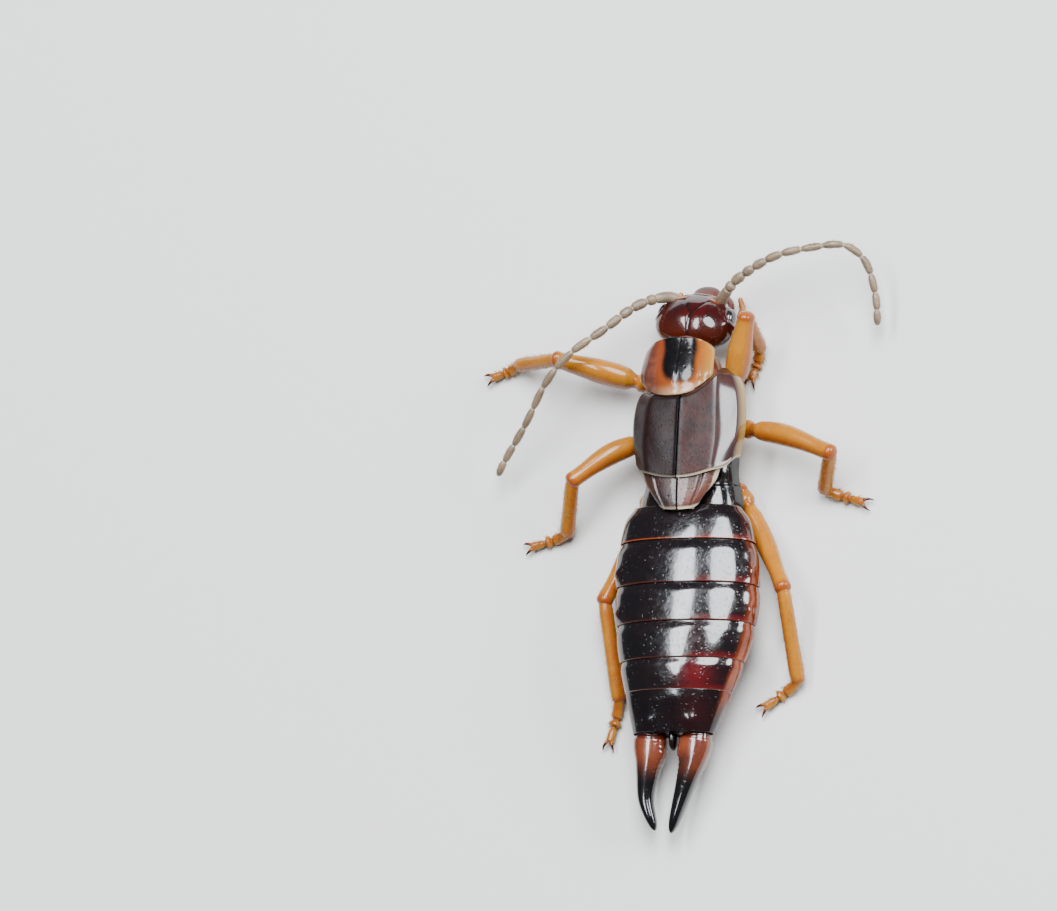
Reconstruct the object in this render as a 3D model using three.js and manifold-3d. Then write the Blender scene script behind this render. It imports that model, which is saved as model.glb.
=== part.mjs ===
// An adult female earwig, life size, standing still on its six feet.
// Millimetres, +Y to the head, +X to the animal's right, +Z up, floor at z = 0.
// The wing cases' midline starts at x = 0, y = 0, where the pronotum ends.
import * as THREE from "three";
import { mergeVertices } from "three/addons/utils/BufferGeometryUtils.js";
import Module from "manifold-3d";

const wasm = await Module();
wasm.setup();

// Driving dimensions.
const GAP = 0.12; // thin cut between two parts that meet
const EYE_GAP = 0.06; // the same round an eye, in its socket

const HEAD = {
  at: [-0.16, 1.68, 1.34], // middle of the back of the head
  pitch: 26, // degrees nose down
  yaw: 7, // degrees turned to the right
  length: 1.7,
  halfWidth: along([[0, 0.7], [0.2, 0.97], [0.6, 1.11], [1.02, 1.03], [1.36, 0.76], [1.7, 0.44]]),
  above: along([[0, 0.35], [0.45, 0.55], [0.95, 0.55], [1.7, 0.24]]),
  below: along([[0, 0.4], [0.45, 0.54], [1.0, 0.5], [1.7, 0.22]]),
  socket: [0.5, 1.34, 0.08], // where a feeler's root stands, from the back of the head
  power: 2.3, // how square its sections are: 2 is an ellipse
};
const EYE = { x: 0.95, y: 0.9, z: 0.1, half: [0.17, 0.27, 0.23] };
const LABRUM = { length: 0.3, halfWidth: 0.38, halfHeight: 0.17, droop: 0.05, power: 2.6 };
// Jaws and palps, in the head's own frame: the curve of the right one of each pair.
const MANDIBLE = {
  curve: [[0.42, 1.2, -0.2], [0.52, 1.56, -0.32], [0.44, 1.84, -0.34], [0.14, 2.05, -0.31]],
  half: along([[0, 0.2], [0.5, 0.18], [1, 0.08]]),
};
const PALP = {
  curve: [[0.62, 0.9, -0.25], [0.9, 1.26, -0.42], [1.0, 1.6, -0.4], [0.86, 1.94, -0.28]],
  places: [0, 0.2, 0.34, 0.38, 0.42, 0.6, 0.68, 0.72, 0.76, 0.95],
  half: along([[0, 0.13], [0.34, 0.17], [0.38, 0.12], [0.42, 0.15], [0.68, 0.16], [0.72, 0.11], [1, 0.09]]),
};
const PRONOTUM = {
  x: -0.3,
  halfWidth: 1.04,
  length: 1.7,
  top: 2.3,
  slope: 0.22, // fall from its rear edge to its front edge
  thick: 0.38,
  bow: 0.42, // how far its rear corners stand in front of its middle
  taper: 0.07, // how much narrower its front edge is
  corner: 0.12, // how much its ends are rounded off
  arch: 0.1,
  rim: 0.24, // how far its side edges turn down
};
const WING_CASE = {
  length: 2.32,
  halfWidth: along([[0, 1.12], [0.1, 1.38], [0.35, 1.56], [0.7, 1.6], [1, 1.48]]),
  lean: 0.06, // how far both lie to the right
  sweep: 0.2, // how far their rear edge runs forward, 1 mm out from the midline
  top: 2.34,
  arch: 0.1,
  fall: 0.74, // how far their outer edge turns down
  thick: 0.45,
  rim: 0.32,
};
const WING_TIP = {
  end: -3.16,
  halfWidth: along([[0, 1.16], [0.5, 1.0], [1, 0.66]]),
  sweep: 0.24,
  top: 2.27,
  rise: 0.06,
  fall: 0.26,
  thick: 0.44,
};
const THORAX = {
  rear: -2.83,
  side: 1.08, // height of its widest line
  front: {
    power: 2.3,
    neck: 2.1, // how far forward the neck would reach if the head didn't stop it
    drift: -0.16, // how far to the left it has swung at the pronotum's middle
    halfWidth: along([[0.06, 0.94], [0.7, 1.0], [1.3, 0.86], [1.62, 0.56], [2.1, 0.5]]),
    top: along([[0.06, 1.68], [0.9, 1.6], [1.4, 1.5], [2.1, 1.45]]),
    bottom: along([[0.06, 0.48], [0.9, 0.48], [1.5, 0.72], [2.1, 0.95]]),
  },
  back: {
    power: 2.4,
    x: 0.06,
    halfWidth: along([[-0.06, 0.9], [-0.6, 1.07], [-2.0, 1.12], [-2.83, 1.16]]),
    top: along([[-0.06, 1.66], [-1, 1.74], [-2.2, 1.72], [-2.83, 1.58]]),
    bottom: along([[-0.06, 0.46], [-1.4, 0.42], [-2.83, 0.56]]),
  },
};

const ABDOMEN = {
  front: THORAX.rear - GAP,
  margins: [-3.42, -3.94, -5.17, -6.23, -7.24, -8.08, -9.16], // rear edges of its rings
  step: 0.1, // how far each rear edge stands over the next ring
  lip: 0.03, // how long the step down is
  power: 2.25,
  middle: along([[-3, 0.06], [-4.5, 0.14], [-5.8, 0.2], [-7, 0.14], [-8, 0.05], [-9.22, -0.08]]),
  halfWidth: along([
    [-2.95, 1.5], [-3.5, 1.82], [-4.6, 2.0], [-5.8, 2.0], [-6.9, 1.84], [-7.8, 1.58], [-9.22, 1.12],
  ]),
  top: along([
    [-2.95, 1.6], [-3.42, 1.66], [-3.94, 2.02], [-5.17, 2.18], [-6.23, 2.2], [-7.24, 2.1], [-9.22, 1.66],
  ]),
  side: along([[-2.95, 1.3], [-6, 1.34], [-8, 1.24], [-9.22, 1.12]]),
  bottom: along([[-2.95, 0.62], [-4.2, 0.46], [-6.2, 0.4], [-8, 0.5], [-9.22, 0.72]]),
};

const FORCEPS = {
  right: [
    [0.55, -9.28, 1.05], [0.47, -9.8, 0.97], [0.36, -10.2, 0.9],
    [0.12, -10.96, 0.82], [-0.13, -11.82, 0.82],
  ],
  left: [
    [-0.74, -9.28, 1.05], [-0.78, -9.8, 0.97], [-0.82, -10.2, 0.9],
    [-0.85, -10.92, 0.82], [-0.58, -11.74, 0.82],
  ],
  places: [0, 0.06, 0.12, 0.18, 0.24, 0.32, 0.42, 0.52, 0.62, 0.72, 0.81, 0.89, 0.95, 1],
  halfWidth: along([[0, 0.46], [0.14, 0.42], [0.3, 0.27], [0.7, 0.19], [0.9, 0.13], [1, 0.05]]),
  halfHeight: along([[0, 0.4], [0.2, 0.36], [0.5, 0.26], [0.85, 0.18], [1, 0.07]]),
  knob: { at: 0.2, long: 0.05, high: 0.07 }, // the swelling inside the root
  power: 2.2,
};
const PYGIDIUM = { x: -0.1, z: 1.02, halfWidth: 0.07, halfHeight: 0.3, length: 0.34 };

// Feelers: the curve of each through the air, from just past its socket to its tip, and its 14 beads.
const ANTENNA = {
  beads: [0.11, 0.035, 0.06, 0.05, 0.06, 0.07, 0.08, 0.085, 0.085, 0.085, 0.08, 0.075, 0.07, 0.055],
  cuts: [4, 9], // beads after which a length ends
  root: 0.25,
  tip: 0.16,
  neck: 0.62, // a joint's thickness over its bead's
  left: [
    [-0.9, 3.05, 1.2], [-1.6, 2.72, 1.62], [-2.42, 1.98, 1.95], [-3.32, 1.3, 2.06],
    [-4.03, 0.6, 1.82], [-4.75, -0.42, 1.3], [-5.5, -1.41, 0.85], [-5.66, -1.66, 0.72],
  ],
  right: [
    [0.74, 3.02, 1.2], [1.24, 3.4, 1.56], [2.32, 3.91, 1.8], [3.34, 4.15, 1.7],
    [4.21, 4.23, 1.5], [4.73, 3.82, 1.2], [4.96, 2.96, 0.9], [4.99, 2.23, 0.7],
  ],
};

// Legs: hip in the body, end of the coxa, knee, ankle, and the end of the claws.
const LEGS = {
  front_left: [
    [-0.6, 0.72, 0.74], [-1.42, 0.7, 0.78], [-3.98, 1.39, 1.24], [-5.4, 1.52, 0.32], [-6.42, 1.15, 0.19],
  ],
  front_right: [
    [0.2, 0.66, 0.74], [1.04, 0.46, 0.8], [1.6, 2.24, 1.78], [1.55, 1.75, 0.32], [1.22, 0.68, 0.19],
  ],
  mid_left: [
    [-0.6, -0.7, 0.72], [-1.3, -0.8, 0.7], [-3.22, -2.12, 1.56], [-3.72, -3.3, 0.32], [-5.01, -3.67, 0.19],
  ],
  mid_right: [
    [0.6, -0.62, 0.72], [1.3, -0.6, 0.74], [4.08, -1.56, 1.5], [3.59, -2.28, 0.32], [4.88, -2.7, 0.19],
  ],
  hind_left: [
    [-0.6, -2.2, 0.7], [-1.28, -2.34, 0.52], [-2.3, -5.37, 1.0], [-1.98, -7.97, 0.32], [-2.28, -9.36, 0.19],
  ],
  hind_right: [
    [0.6, -2.2, 0.7], [1.3, -2.34, 0.5], [2.84, -5.2, 1.24], [3.09, -7.57, 0.32], [1.96, -8.38, 0.19],
  ],
};
// half: half thickness at mid length, deep: height over thickness, bow: how its middle stands off.
const FEMUR = {
  front: { half: 0.33, deep: 1.2, bow: [0, 0, 0.05] },
  mid: { half: 0.3, deep: 1.0, bow: [0, 0.12, 0.12] },
  hind: { half: 0.28, deep: 1.0, bow: [0, 0, -0.22] },
  places: [0.02, 0.09, 0.14, 0.22, 0.4, 0.62, 0.82, 0.97],
  // The trochanter's swelling and the waist behind it come before the thigh.
  profile: (half) =>
    along([
      [0, 0.24], [0.09, 0.27], [0.14, 0.2], [0.24, half * 0.92],
      [0.5, half], [0.82, half * 0.8], [1, 0.27],
    ]),
};
const COXA = { half: along([[0, 0.36], [1, 0.27]]) };
const TIBIA = { places: [0.02, 0.2, 0.5, 0.8, 0.98], half: along([[0, 0.22], [0.3, 0.25], [0.9, 0.22]]) };
// The foot: three joints, then two claws.
const TARSUS = {
  height: 0.17,
  bend: 0.3, // where the foot meets the floor, as a share of its length
  places: [0.04, 0.22, 0.44, 0.49, 0.54, 0.62, 0.68, 0.72, 0.8, 0.96],
  half: along([
    [0, 0.19], [0.22, 0.2], [0.44, 0.2], [0.49, 0.15], [0.54, 0.2],
    [0.62, 0.22], [0.68, 0.14], [0.74, 0.16], [1, 0.17],
  ]),
};
const CLAW = { length: 0.3, spread: 0.16, tipHeight: 0.08, half: along([[0, 0.1], [0.5, 0.09], [1, 0.045]]) };

// How finely the forms are faceted.
const SIDES = { head: 24, thorax: 20, abdomen: 28, forceps: 12, mouth: 12, limb: 8, claw: 6 };
const THORAX_RINGS = 8;
const HEAD_RINGS = 12;
const DOME_SHARE = 0.62; // a rounded end's last section over its first

const TISSUE = {
  head: { color: 0x4a1210, roughness: 0.22 },
  eye: { color: 0x120d0c, roughness: 0.15 },
  mouth: { color: 0x8a4a1e, roughness: 0.35 },
  pronotum: { color: 0x8c5a2c, roughness: 0.3 },
  flank: { color: 0x9a6a38, roughness: 0.45 },
  wingCase: { color: 0x35211c, roughness: 0.35 },
  wingTip: { color: 0x6e3f26, roughness: 0.35 },
  abdomen: { color: 0x24100c, roughness: 0.2 },
  forceps: { color: 0x5e2412, roughness: 0.25 },
  leg: { color: 0xc98a30, roughness: 0.35 },
  antenna: { color: 0x8f7a5c, roughness: 0.5 },
};

// A smooth value along [place, value] keys, level beyond the first and the last.
function along(keys) {
  const order = [...keys].sort((a, b) => a[0] - b[0]);
  const last = order.length - 1;
  const slope = order.map((_, i) => {
    const [a, b] = [order[Math.max(i - 1, 0)], order[Math.min(i + 1, last)]];
    return (b[1] - a[1]) / (b[0] - a[0]);
  });
  return (place) => {
    const x = THREE.MathUtils.clamp(place, order[0][0], order[last][0]);
    const i = Math.min(Math.max(order.findIndex((k) => k[0] > x) - 1, 0), last - 1);
    const start = x >= order[last][0] ? last - 1 : i;
    const [a, b] = [order[start], order[start + 1]];
    const span = b[0] - a[0];
    const t = (x - a[0]) / span;
    return (
      a[1] * (1 + 2 * t) * (1 - t) ** 2 +
      slope[start] * span * t * (1 - t) ** 2 +
      b[1] * t ** 2 * (3 - 2 * t) -
      slope[start + 1] * span * t ** 2 * (1 - t)
    );
  };
}

const point = (xyz) => new THREE.Vector3(...xyz);
const X = point([1, 0, 0]);
const Z = point([0, 0, 1]);

// A rounded section: its own half sizes across, above and below the centre, squarer as power grows.
function section({ centre, across, up, wide, high, low = high, power = 2, sides }) {
  return Array.from({ length: sides }, (_, i) => {
    const angle = (2 * Math.PI * (i + 0.5)) / sides;
    const [c, s] = [Math.cos(angle), Math.sin(angle)];
    const round = (v) => Math.sign(v) * Math.abs(v) ** (2 / power);
    return centre
      .clone()
      .addScaledVector(across, round(c) * wide)
      .addScaledVector(up, round(s) * (s > 0 ? high : low));
  });
}

// A closed geometry from points and triangles, turned so that its faces point out.
function closed(points, triangles) {
  const volume = triangles.reduce((sum, [a, b, c]) => {
    return sum + points[a].dot(points[b].clone().cross(points[c]));
  }, 0);
  const index = volume < 0 ? triangles.map(([a, b, c]) => [a, c, b]) : triangles;
  return new THREE.BufferGeometry().setFromPoints(points).setIndex(index.flat());
}

// Sections of equal count joined into one closed form, with a flat fan over each end.
function loft(rings) {
  const sides = rings[0].length;
  const points = rings.flat();
  const triangles = [];
  for (let r = 0; r + 1 < rings.length; r++) {
    for (let s = 0; s < sides; s++) {
      const [a, b] = [r * sides + s, r * sides + ((s + 1) % sides)];
      triangles.push([a, b, b + sides], [a, b + sides, a + sides]);
    }
  }
  for (const [ring, first, turn] of [[rings[0], 0, 1], [rings.at(-1), points.length - sides, -1]]) {
    const centre = ring.reduce((sum, p) => sum.add(p), new THREE.Vector3()).divideScalar(sides);
    const tip = points.push(centre) - 1;
    for (let s = 0; s < sides; s++) {
      const [a, b] = [first + s, first + ((s + 1) % sides)];
      triangles.push(turn > 0 ? [tip, b, a] : [tip, a, b]);
    }
  }
  return closed(points, triangles);
}

// A plate between an outer and an inner face, each a function of u and v from 0 to 1.
function plate(outer, inner, across, lengthwise) {
  const points = [];
  const rows = lengthwise + 1;
  const columns = across + 1;
  for (const face of [outer, inner]) {
    for (let v = 0; v < rows; v++) {
      for (let u = 0; u < columns; u++) points.push(face(u / across, v / lengthwise));
    }
  }
  const at = (u, v, layer) => layer * rows * columns + v * columns + u;
  const triangles = [];
  const quad = (a, b, c, d) => triangles.push([a, b, c], [a, c, d]);
  for (let v = 0; v < lengthwise; v++) {
    for (let u = 0; u < across; u++) {
      quad(at(u, v, 0), at(u + 1, v, 0), at(u + 1, v + 1, 0), at(u, v + 1, 0));
      const [a, b, c, d] = [at(u, v, 1), at(u + 1, v, 1), at(u + 1, v + 1, 1), at(u, v + 1, 1)];
      triangles.push([a, c, b], [a, d, c]);
    }
    quad(at(0, v + 1, 0), at(0, v + 1, 1), at(0, v, 1), at(0, v, 0));
    quad(at(across, v, 0), at(across, v, 1), at(across, v + 1, 1), at(across, v + 1, 0));
  }
  for (let u = 0; u < across; u++) {
    quad(at(u, 0, 0), at(u, 0, 1), at(u + 1, 0, 1), at(u + 1, 0, 0));
    quad(at(u + 1, lengthwise, 0), at(u + 1, lengthwise, 1), at(u, lengthwise, 1), at(u, lengthwise, 0));
  }
  return closed(points, triangles);
}

// Sections carried along a curve, with a small dome on each end.
// places are fractions of its length, half gives the half thickness there.
function limb({ curve, places, half, deep = 1, across, sides = SIDES.limb, grow = 0, domes = [0.6, 0.6] }) {
  const rings = [];
  const ring = (t, shift, share) => {
    const heading = curve.getTangentAt(t);
    const flat = across.clone().addScaledVector(heading, -across.dot(heading)).normalize();
    rings.push(
      section({
        centre: curve.getPointAt(t).addScaledVector(heading, shift),
        across: flat,
        up: heading.clone().cross(flat),
        wide: (half(t) + grow) * share,
        high: (half(t) * deep + grow) * share,
        sides,
      }),
    );
  };
  ring(places[0], -half(places[0]) * domes[0] - grow, DOME_SHARE);
  places.forEach((t) => ring(t, 0, 1));
  const end = places.at(-1);
  ring(end, half(end) * domes[1] + grow, DOME_SHARE);
  return loft(rings);
}

const spaced = (from, to, steps) =>
  Array.from({ length: steps + 1 }, (_, i) => from + ((to - from) * i) / steps);
const curveThrough = (points) => new THREE.CatmullRomCurve3(points.map(point), false, "centripetal");

// Solids for joining and cutting.
function solidOf(geometry) {
  const shape = mergeVertices(geometry.clone().deleteAttribute("normal").deleteAttribute("uv"), 1e-4);
  return new wasm.Manifold(
    new wasm.Mesh({
      numProp: 3,
      vertProperties: new Float32Array(shape.attributes.position.array),
      triVerts: new Uint32Array(shape.index.array),
    }),
  );
}

function geometryOf(solid) {
  const bodies = solid.decompose().sort((a, b) => b.volume() - a.volume());
  const mesh = bodies[0].getMesh();
  return new THREE.BufferGeometry()
    .setAttribute("position", new THREE.BufferAttribute(new Float32Array(mesh.vertProperties), 3))
    .setIndex(new THREE.BufferAttribute(new Uint32Array(mesh.triVerts), 1));
}

// Cuts a piece back from what it grows from, whose forms are given a gap's width larger.
function seated(piece, ...grown) {
  return geometryOf(grown.reduce((rest, form) => rest.subtract(solidOf(form)), solidOf(piece)));
}

function joined(...pieces) {
  return geometryOf(pieces.map(solidOf).reduce((all, piece) => all.add(piece)));
}

function mesh(name, geometry, tissue) {
  geometry.computeVertexNormals();
  const body = new THREE.Mesh(geometry, new THREE.MeshStandardMaterial({ metalness: 0, ...tissue }));
  body.name = name;
  return body;
}

// The whole animal stands over the origin, and the head has a frame of its own,
// +Y forward from the back of the head and +Z up.
const earwig = new THREE.Group();
earwig.name = "earwig";
const body = new THREE.Group();
earwig.add(body);
const headGroup = new THREE.Group();
headGroup.position.copy(point(HEAD.at));
headGroup.rotation.set(
  THREE.MathUtils.degToRad(-HEAD.pitch),
  0,
  THREE.MathUtils.degToRad(-HEAD.yaw),
  "ZYX",
);
headGroup.updateMatrix();
body.add(headGroup);
const fromHead = (geometry) => geometry.clone().applyMatrix4(headGroup.matrix);

function headForm(grow = 0) {
  const rings = spaced(0, HEAD.length, HEAD_RINGS).map((y) =>
    section({
      centre: point([0, y + grow * (2 * (y / HEAD.length) - 1), 0]),
      across: X,
      up: Z,
      wide: HEAD.halfWidth(y) + grow,
      high: HEAD.above(y) + grow,
      low: HEAD.below(y) + grow,
      power: HEAD.power,
      sides: SIDES.head,
    }),
  );
  return loft(rings);
}

function eyeForm(side, grow = 0) {
  return new THREE.SphereGeometry(1, 12, 8)
    .scale(...EYE.half.map((h) => h + grow))
    .translate(side * EYE.x, EYE.y, EYE.z);
}

function labrumForm() {
  const start = HEAD.length + GAP;
  const rings = [0, 0.35, 0.75, 1].map((t) =>
    section({
      centre: point([0, start + t * LABRUM.length, -LABRUM.droop * t]),
      across: X,
      up: Z,
      wide: LABRUM.halfWidth * (1 - 0.35 * t ** 2),
      high: LABRUM.halfHeight * (1 - 0.5 * t ** 2),
      power: LABRUM.power,
      sides: SIDES.mouth,
    }),
  );
  return loft(rings);
}

const mirrored = (points, side) => points.map(([x, y, z]) => [side * x, y, z]);

function mandibleForm(side) {
  const curve = curveThrough(mirrored(MANDIBLE.curve, side));
  return limb({ curve, places: spaced(0, 1, 5), half: MANDIBLE.half, across: Z });
}

function palpForm(side) {
  const curve = curveThrough(mirrored(PALP.curve, side));
  return limb({ curve, places: PALP.places, half: PALP.half, across: Z });
}

function addHead() {
  const sides = { left: -1, right: 1 };
  const sockets = Object.values(sides).map((side) => eyeForm(side, EYE_GAP));
  headGroup.add(mesh("head", seated(headForm(), ...sockets), TISSUE.head));
  headGroup.add(mesh("labrum", labrumForm(), TISSUE.mouth));
  for (const [name, side] of Object.entries(sides)) {
    headGroup.add(mesh(`eye_${name}`, eyeForm(side), TISSUE.eye));
    headGroup.add(mesh(`mandible_${name}`, seated(mandibleForm(side), headForm(GAP)), TISSUE.mouth));
    headGroup.add(mesh(`palp_${name}`, seated(palpForm(side), headForm(GAP)), TISSUE.mouth));
  }
}

// Each feeler is one curve of beads, cut into three lengths at joints.
function addAntenna(name, side) {
  const total = ANTENNA.beads.reduce((sum, share) => sum + share);
  const joints = [0];
  ANTENNA.beads.forEach((share) => joints.push(joints.at(-1) + share / total));
  const [x, y, z] = HEAD.socket;
  const socket = point([side * x, y, z]).applyMatrix4(headGroup.matrix);
  const curve = curveThrough([socket.toArray(), ...ANTENNA[name]]);
  const cut = GAP / 2 / curve.getLength();
  const ends = [0, ...ANTENNA.cuts, ANTENNA.beads.length];
  ["base", "mid", "tip"].forEach((length, i) => {
    const [first, last] = [ends[i], ends[i + 1]];
    const places = [];
    for (let bead = first; bead < last; bead++) {
      const [a, b] = [joints[bead], joints[bead + 1]];
      places.push(a + (bead === first && i > 0 ? cut : 0), a + (b - a) * 0.3, a + (b - a) * 0.8);
    }
    places.push(joints[last] - (i < 2 ? cut : 0));
    const half = (t) => {
      const bead = Math.min(joints.findIndex((j) => j > t - 1e-9) - 1, ANTENNA.beads.length - 1);
      const atJoint = joints.some((j) => Math.abs(j - t) < 1.5 * cut);
      const full = THREE.MathUtils.lerp(ANTENNA.root, ANTENNA.tip, Math.min(t * 1.6, 1) ** 0.7);
      return full * (atJoint && bead !== 0 ? ANTENNA.neck : 1);
    };
    const form = limb({ curve, places, half, across: Z, domes: [0.1, 0.1] });
    const piece = i === 0 ? seated(form, fromHead(headForm(GAP)), fromHead(eyeForm(side, GAP))) : form;
    body.add(mesh(`antenna_${name}_${length}`, piece, TISSUE.antenna));
  });
}

// Thorax: two blocks under the pronotum and the wing cases, the front one with the neck.
// Each runs from y = start to y = end, and grow widens it all round.
function thoraxForm({ start, end, x, halfWidth, top, bottom, power, grow }) {
  const forward = Math.sign(end - start);
  const rings = spaced(start - forward * grow, end + forward * grow, THORAX_RINGS).map((y) =>
    section({
      centre: point([x(y), y, THORAX.side]),
      across: X,
      up: Z,
      wide: halfWidth(y) + grow,
      high: top(y) - THORAX.side + grow,
      low: THORAX.side - bottom(y) + grow,
      power,
      sides: SIDES.thorax,
    }),
  );
  return loft(rings);
}

function prothoraxForm(grow = 0) {
  const { neck, drift } = THORAX.front;
  const x = (y) => drift * Math.min(y, 1);
  return thoraxForm({ ...THORAX.front, start: GAP / 2, end: neck, x, grow });
}

function pterothoraxForm(grow = 0) {
  const x = () => THORAX.back.x;
  return thoraxForm({ ...THORAX.back, start: -GAP / 2, end: THORAX.rear, x, grow });
}

// The pronotum: a gently arched shield with a thin rim and a bowed rear edge.
const rearBow = (x) => PRONOTUM.bow * Math.min(Math.abs(x / PRONOTUM.halfWidth), 1.25) ** 2.6;

function pronotumForm() {
  const face = (inner) => (u, v) => {
    const s = 2 * u - 1;
    const { x, halfWidth, length, top, slope, thick, taper, corner, arch, rim } = PRONOTUM;
    const wide = halfWidth * (1 - taper * v ** 2 - corner * (2 * v - 1) ** 6);
    const rear = rearBow(s * halfWidth);
    const front = length - corner * s ** 4;
    const height = top - slope * v - arch * s ** 2 - rim * s ** 6 - 0.2 * rim * (1 - v) ** 8;
    const deep = inner * thick * (1 - 0.3 * s ** 4);
    return point([x + s * wide, rear + (front - rear) * v, height - deep]);
  };
  return plate(face(0), face(1), 14, 8);
}

// The wing cases' rear edge runs a little forward from the midline out.
const wingCaseEnd = (x) => -WING_CASE.length + WING_CASE.sweep * x ** 2;

// A wing case: its inner edge on the midline, its outer edge turned down over the flank.
function wingCaseForm(side) {
  const { halfWidth, lean, top, arch, fall, thick, rim } = WING_CASE;
  const face = (inner) => (u, v) => {
    const reach = halfWidth(v) + side * lean - inner * rim;
    const x = side * (GAP / 2 + u * (reach - GAP / 2));
    const front = rearBow(x - PRONOTUM.x) - GAP;
    const rear = wingCaseEnd(x);
    const turn = arch * u ** 2 + (fall - arch) * u ** 5;
    const crown = top - 0.07 * (1 - v) ** 4 - 0.05 * v ** 3;
    const under = inner * thick * (1 - u ** 5);
    return point([x, front + (rear - front) * v, crown - turn - under]);
  };
  return plate(face(0), face(1), 10, 9);
}

// The folded wing's tip, which lies behind the wing case and meets it edge to edge.
function wingTipForm(side) {
  const { end, halfWidth, sweep, top, rise, fall, thick } = WING_TIP;
  const face = (inner) => (u, v) => {
    const x = side * (GAP / 2 + u * (halfWidth(v) - GAP / 2));
    const front = wingCaseEnd(x) - GAP;
    const rear = end + sweep * u ** 3;
    const deep = inner * thick * (1 - 0.4 * v ** 2);
    return point([x, front + (rear - front) * v, top - rise * v - fall * u ** 3 - deep]);
  };
  return plate(face(0), face(1), 6, 4);
}

// The abdomen: a loop of rings, each wider at its rear edge and stepped down to the next.
function abdomenForm(grow = 0) {
  const rings = [];
  const ring = (y, inset, shift = 0) => {
    const side = ABDOMEN.side(y);
    rings.push(
      section({
        centre: point([ABDOMEN.middle(y), y + shift, side]),
        across: X,
        up: Z,
        wide: ABDOMEN.halfWidth(y) - inset + grow,
        high: ABDOMEN.top(y) - side - inset + grow,
        low: side - ABDOMEN.bottom(y) - inset + grow,
        power: ABDOMEN.power,
        sides: SIDES.abdomen,
      }),
    );
  };
  let front = ABDOMEN.front;
  for (const rear of ABDOMEN.margins) {
    const last = rear === ABDOMEN.margins.at(-1);
    ring(front, ABDOMEN.step, front === ABDOMEN.front ? grow : 0);
    ring(front + (rear - front) * 0.55, ABDOMEN.step * 0.4);
    ring(rear, 0, last ? -grow : 0);
    front = rear - ABDOMEN.lip;
  }
  return loft(rings);
}

function forcepsForm(points, inward) {
  const { places, halfWidth, halfHeight, knob, power } = FORCEPS;
  const curve = curveThrough(points);
  const rings = places.map((t) => {
    // The first section stands upright, against the last ring's rear face.
    const heading = t === 0 ? point([0, -1, 0]) : curve.getTangentAt(t);
    const across = heading.clone().cross(Z).normalize();
    const swell = knob.high * Math.exp(-(((t - knob.at) / knob.long) ** 2));
    return section({
      centre: curve.getPointAt(t).addScaledVector(X, inward * swell),
      across,
      up: across.clone().cross(heading),
      wide: halfWidth(t) + swell,
      high: halfHeight(t),
      power,
      sides: SIDES.forceps,
    });
  });
  return loft(rings);
}

function pygidiumForm() {
  const start = ABDOMEN.margins.at(-1) - GAP;
  const rings = [0, 0.5, 0.85, 1].map((t) =>
    section({
      centre: point([PYGIDIUM.x, start - t * PYGIDIUM.length, PYGIDIUM.z]),
      across: X,
      up: Z,
      wide: PYGIDIUM.halfWidth * (1 - 0.5 * t ** 3),
      high: PYGIDIUM.halfHeight * (1 - 0.5 * t ** 3),
      sides: SIDES.limb,
    }),
  );
  return loft(rings);
}

function addBody() {
  body.add(mesh("prothorax", seated(prothoraxForm(), fromHead(headForm(GAP))), TISSUE.flank));
  body.add(mesh("pterothorax", pterothoraxForm(), TISSUE.flank));
  body.add(mesh("pronotum", seated(pronotumForm(), fromHead(headForm(GAP))), TISSUE.pronotum));
  body.add(mesh("abdomen", abdomenForm(), TISSUE.abdomen));
  body.add(mesh("pygidium", pygidiumForm(), TISSUE.abdomen));
  for (const [name, side] of Object.entries({ left: -1, right: 1 })) {
    body.add(mesh(`elytron_${name}`, wingCaseForm(side), TISSUE.wingCase));
    body.add(mesh(`wing_tip_${name}`, wingTipForm(side), TISSUE.wingTip));
    body.add(mesh(`forceps_${name}`, forcepsForm(FORCEPS[name], -side), TISSUE.forceps));
  }
}

// One leg, each length cut back from the one that carries it.
function addLeg(name) {
  const [hip, coxaEnd, knee, ankle, clawEnd] = LEGS[name].map(point);
  const thigh = FEMUR[name.split("_")[0]];
  const plane = knee.clone().sub(coxaEnd).cross(ankle.clone().sub(knee)).normalize();
  const coxa = (grow) =>
    limb({
      curve: new THREE.LineCurve3(hip, coxaEnd),
      places: spaced(0, 1, 3),
      half: COXA.half,
      across: Z,
      grow,
    });
  const thighMiddle = coxaEnd.clone().lerp(knee, 0.5).add(point(thigh.bow));
  const femur = (grow) =>
    limb({
      curve: curveThrough([coxaEnd.toArray(), thighMiddle.toArray(), knee.toArray()]),
      places: FEMUR.places,
      half: FEMUR.profile(thigh.half),
      deep: thigh.deep,
      across: plane,
      grow,
    });
  const tibia = (grow) =>
    limb({
      curve: new THREE.LineCurve3(knee, ankle),
      places: TIBIA.places,
      half: TIBIA.half,
      across: plane,
      grow,
      domes: [0.6, 0.35],
    });
  const thorax = name.startsWith("front") ? prothoraxForm(GAP) : pterothoraxForm(GAP);
  body.add(mesh(`coxa_${name}`, seated(coxa(0), thorax), TISSUE.leg));
  body.add(mesh(`femur_${name}`, seated(femur(0), coxa(GAP), thorax), TISSUE.leg));
  body.add(mesh(`tibia_${name}`, seated(tibia(0), femur(GAP)), TISSUE.leg));
  body.add(mesh(`tarsus_${name}`, seated(tarsusForm(ankle, clawEnd), tibia(GAP)), TISSUE.leg));
}

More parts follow.
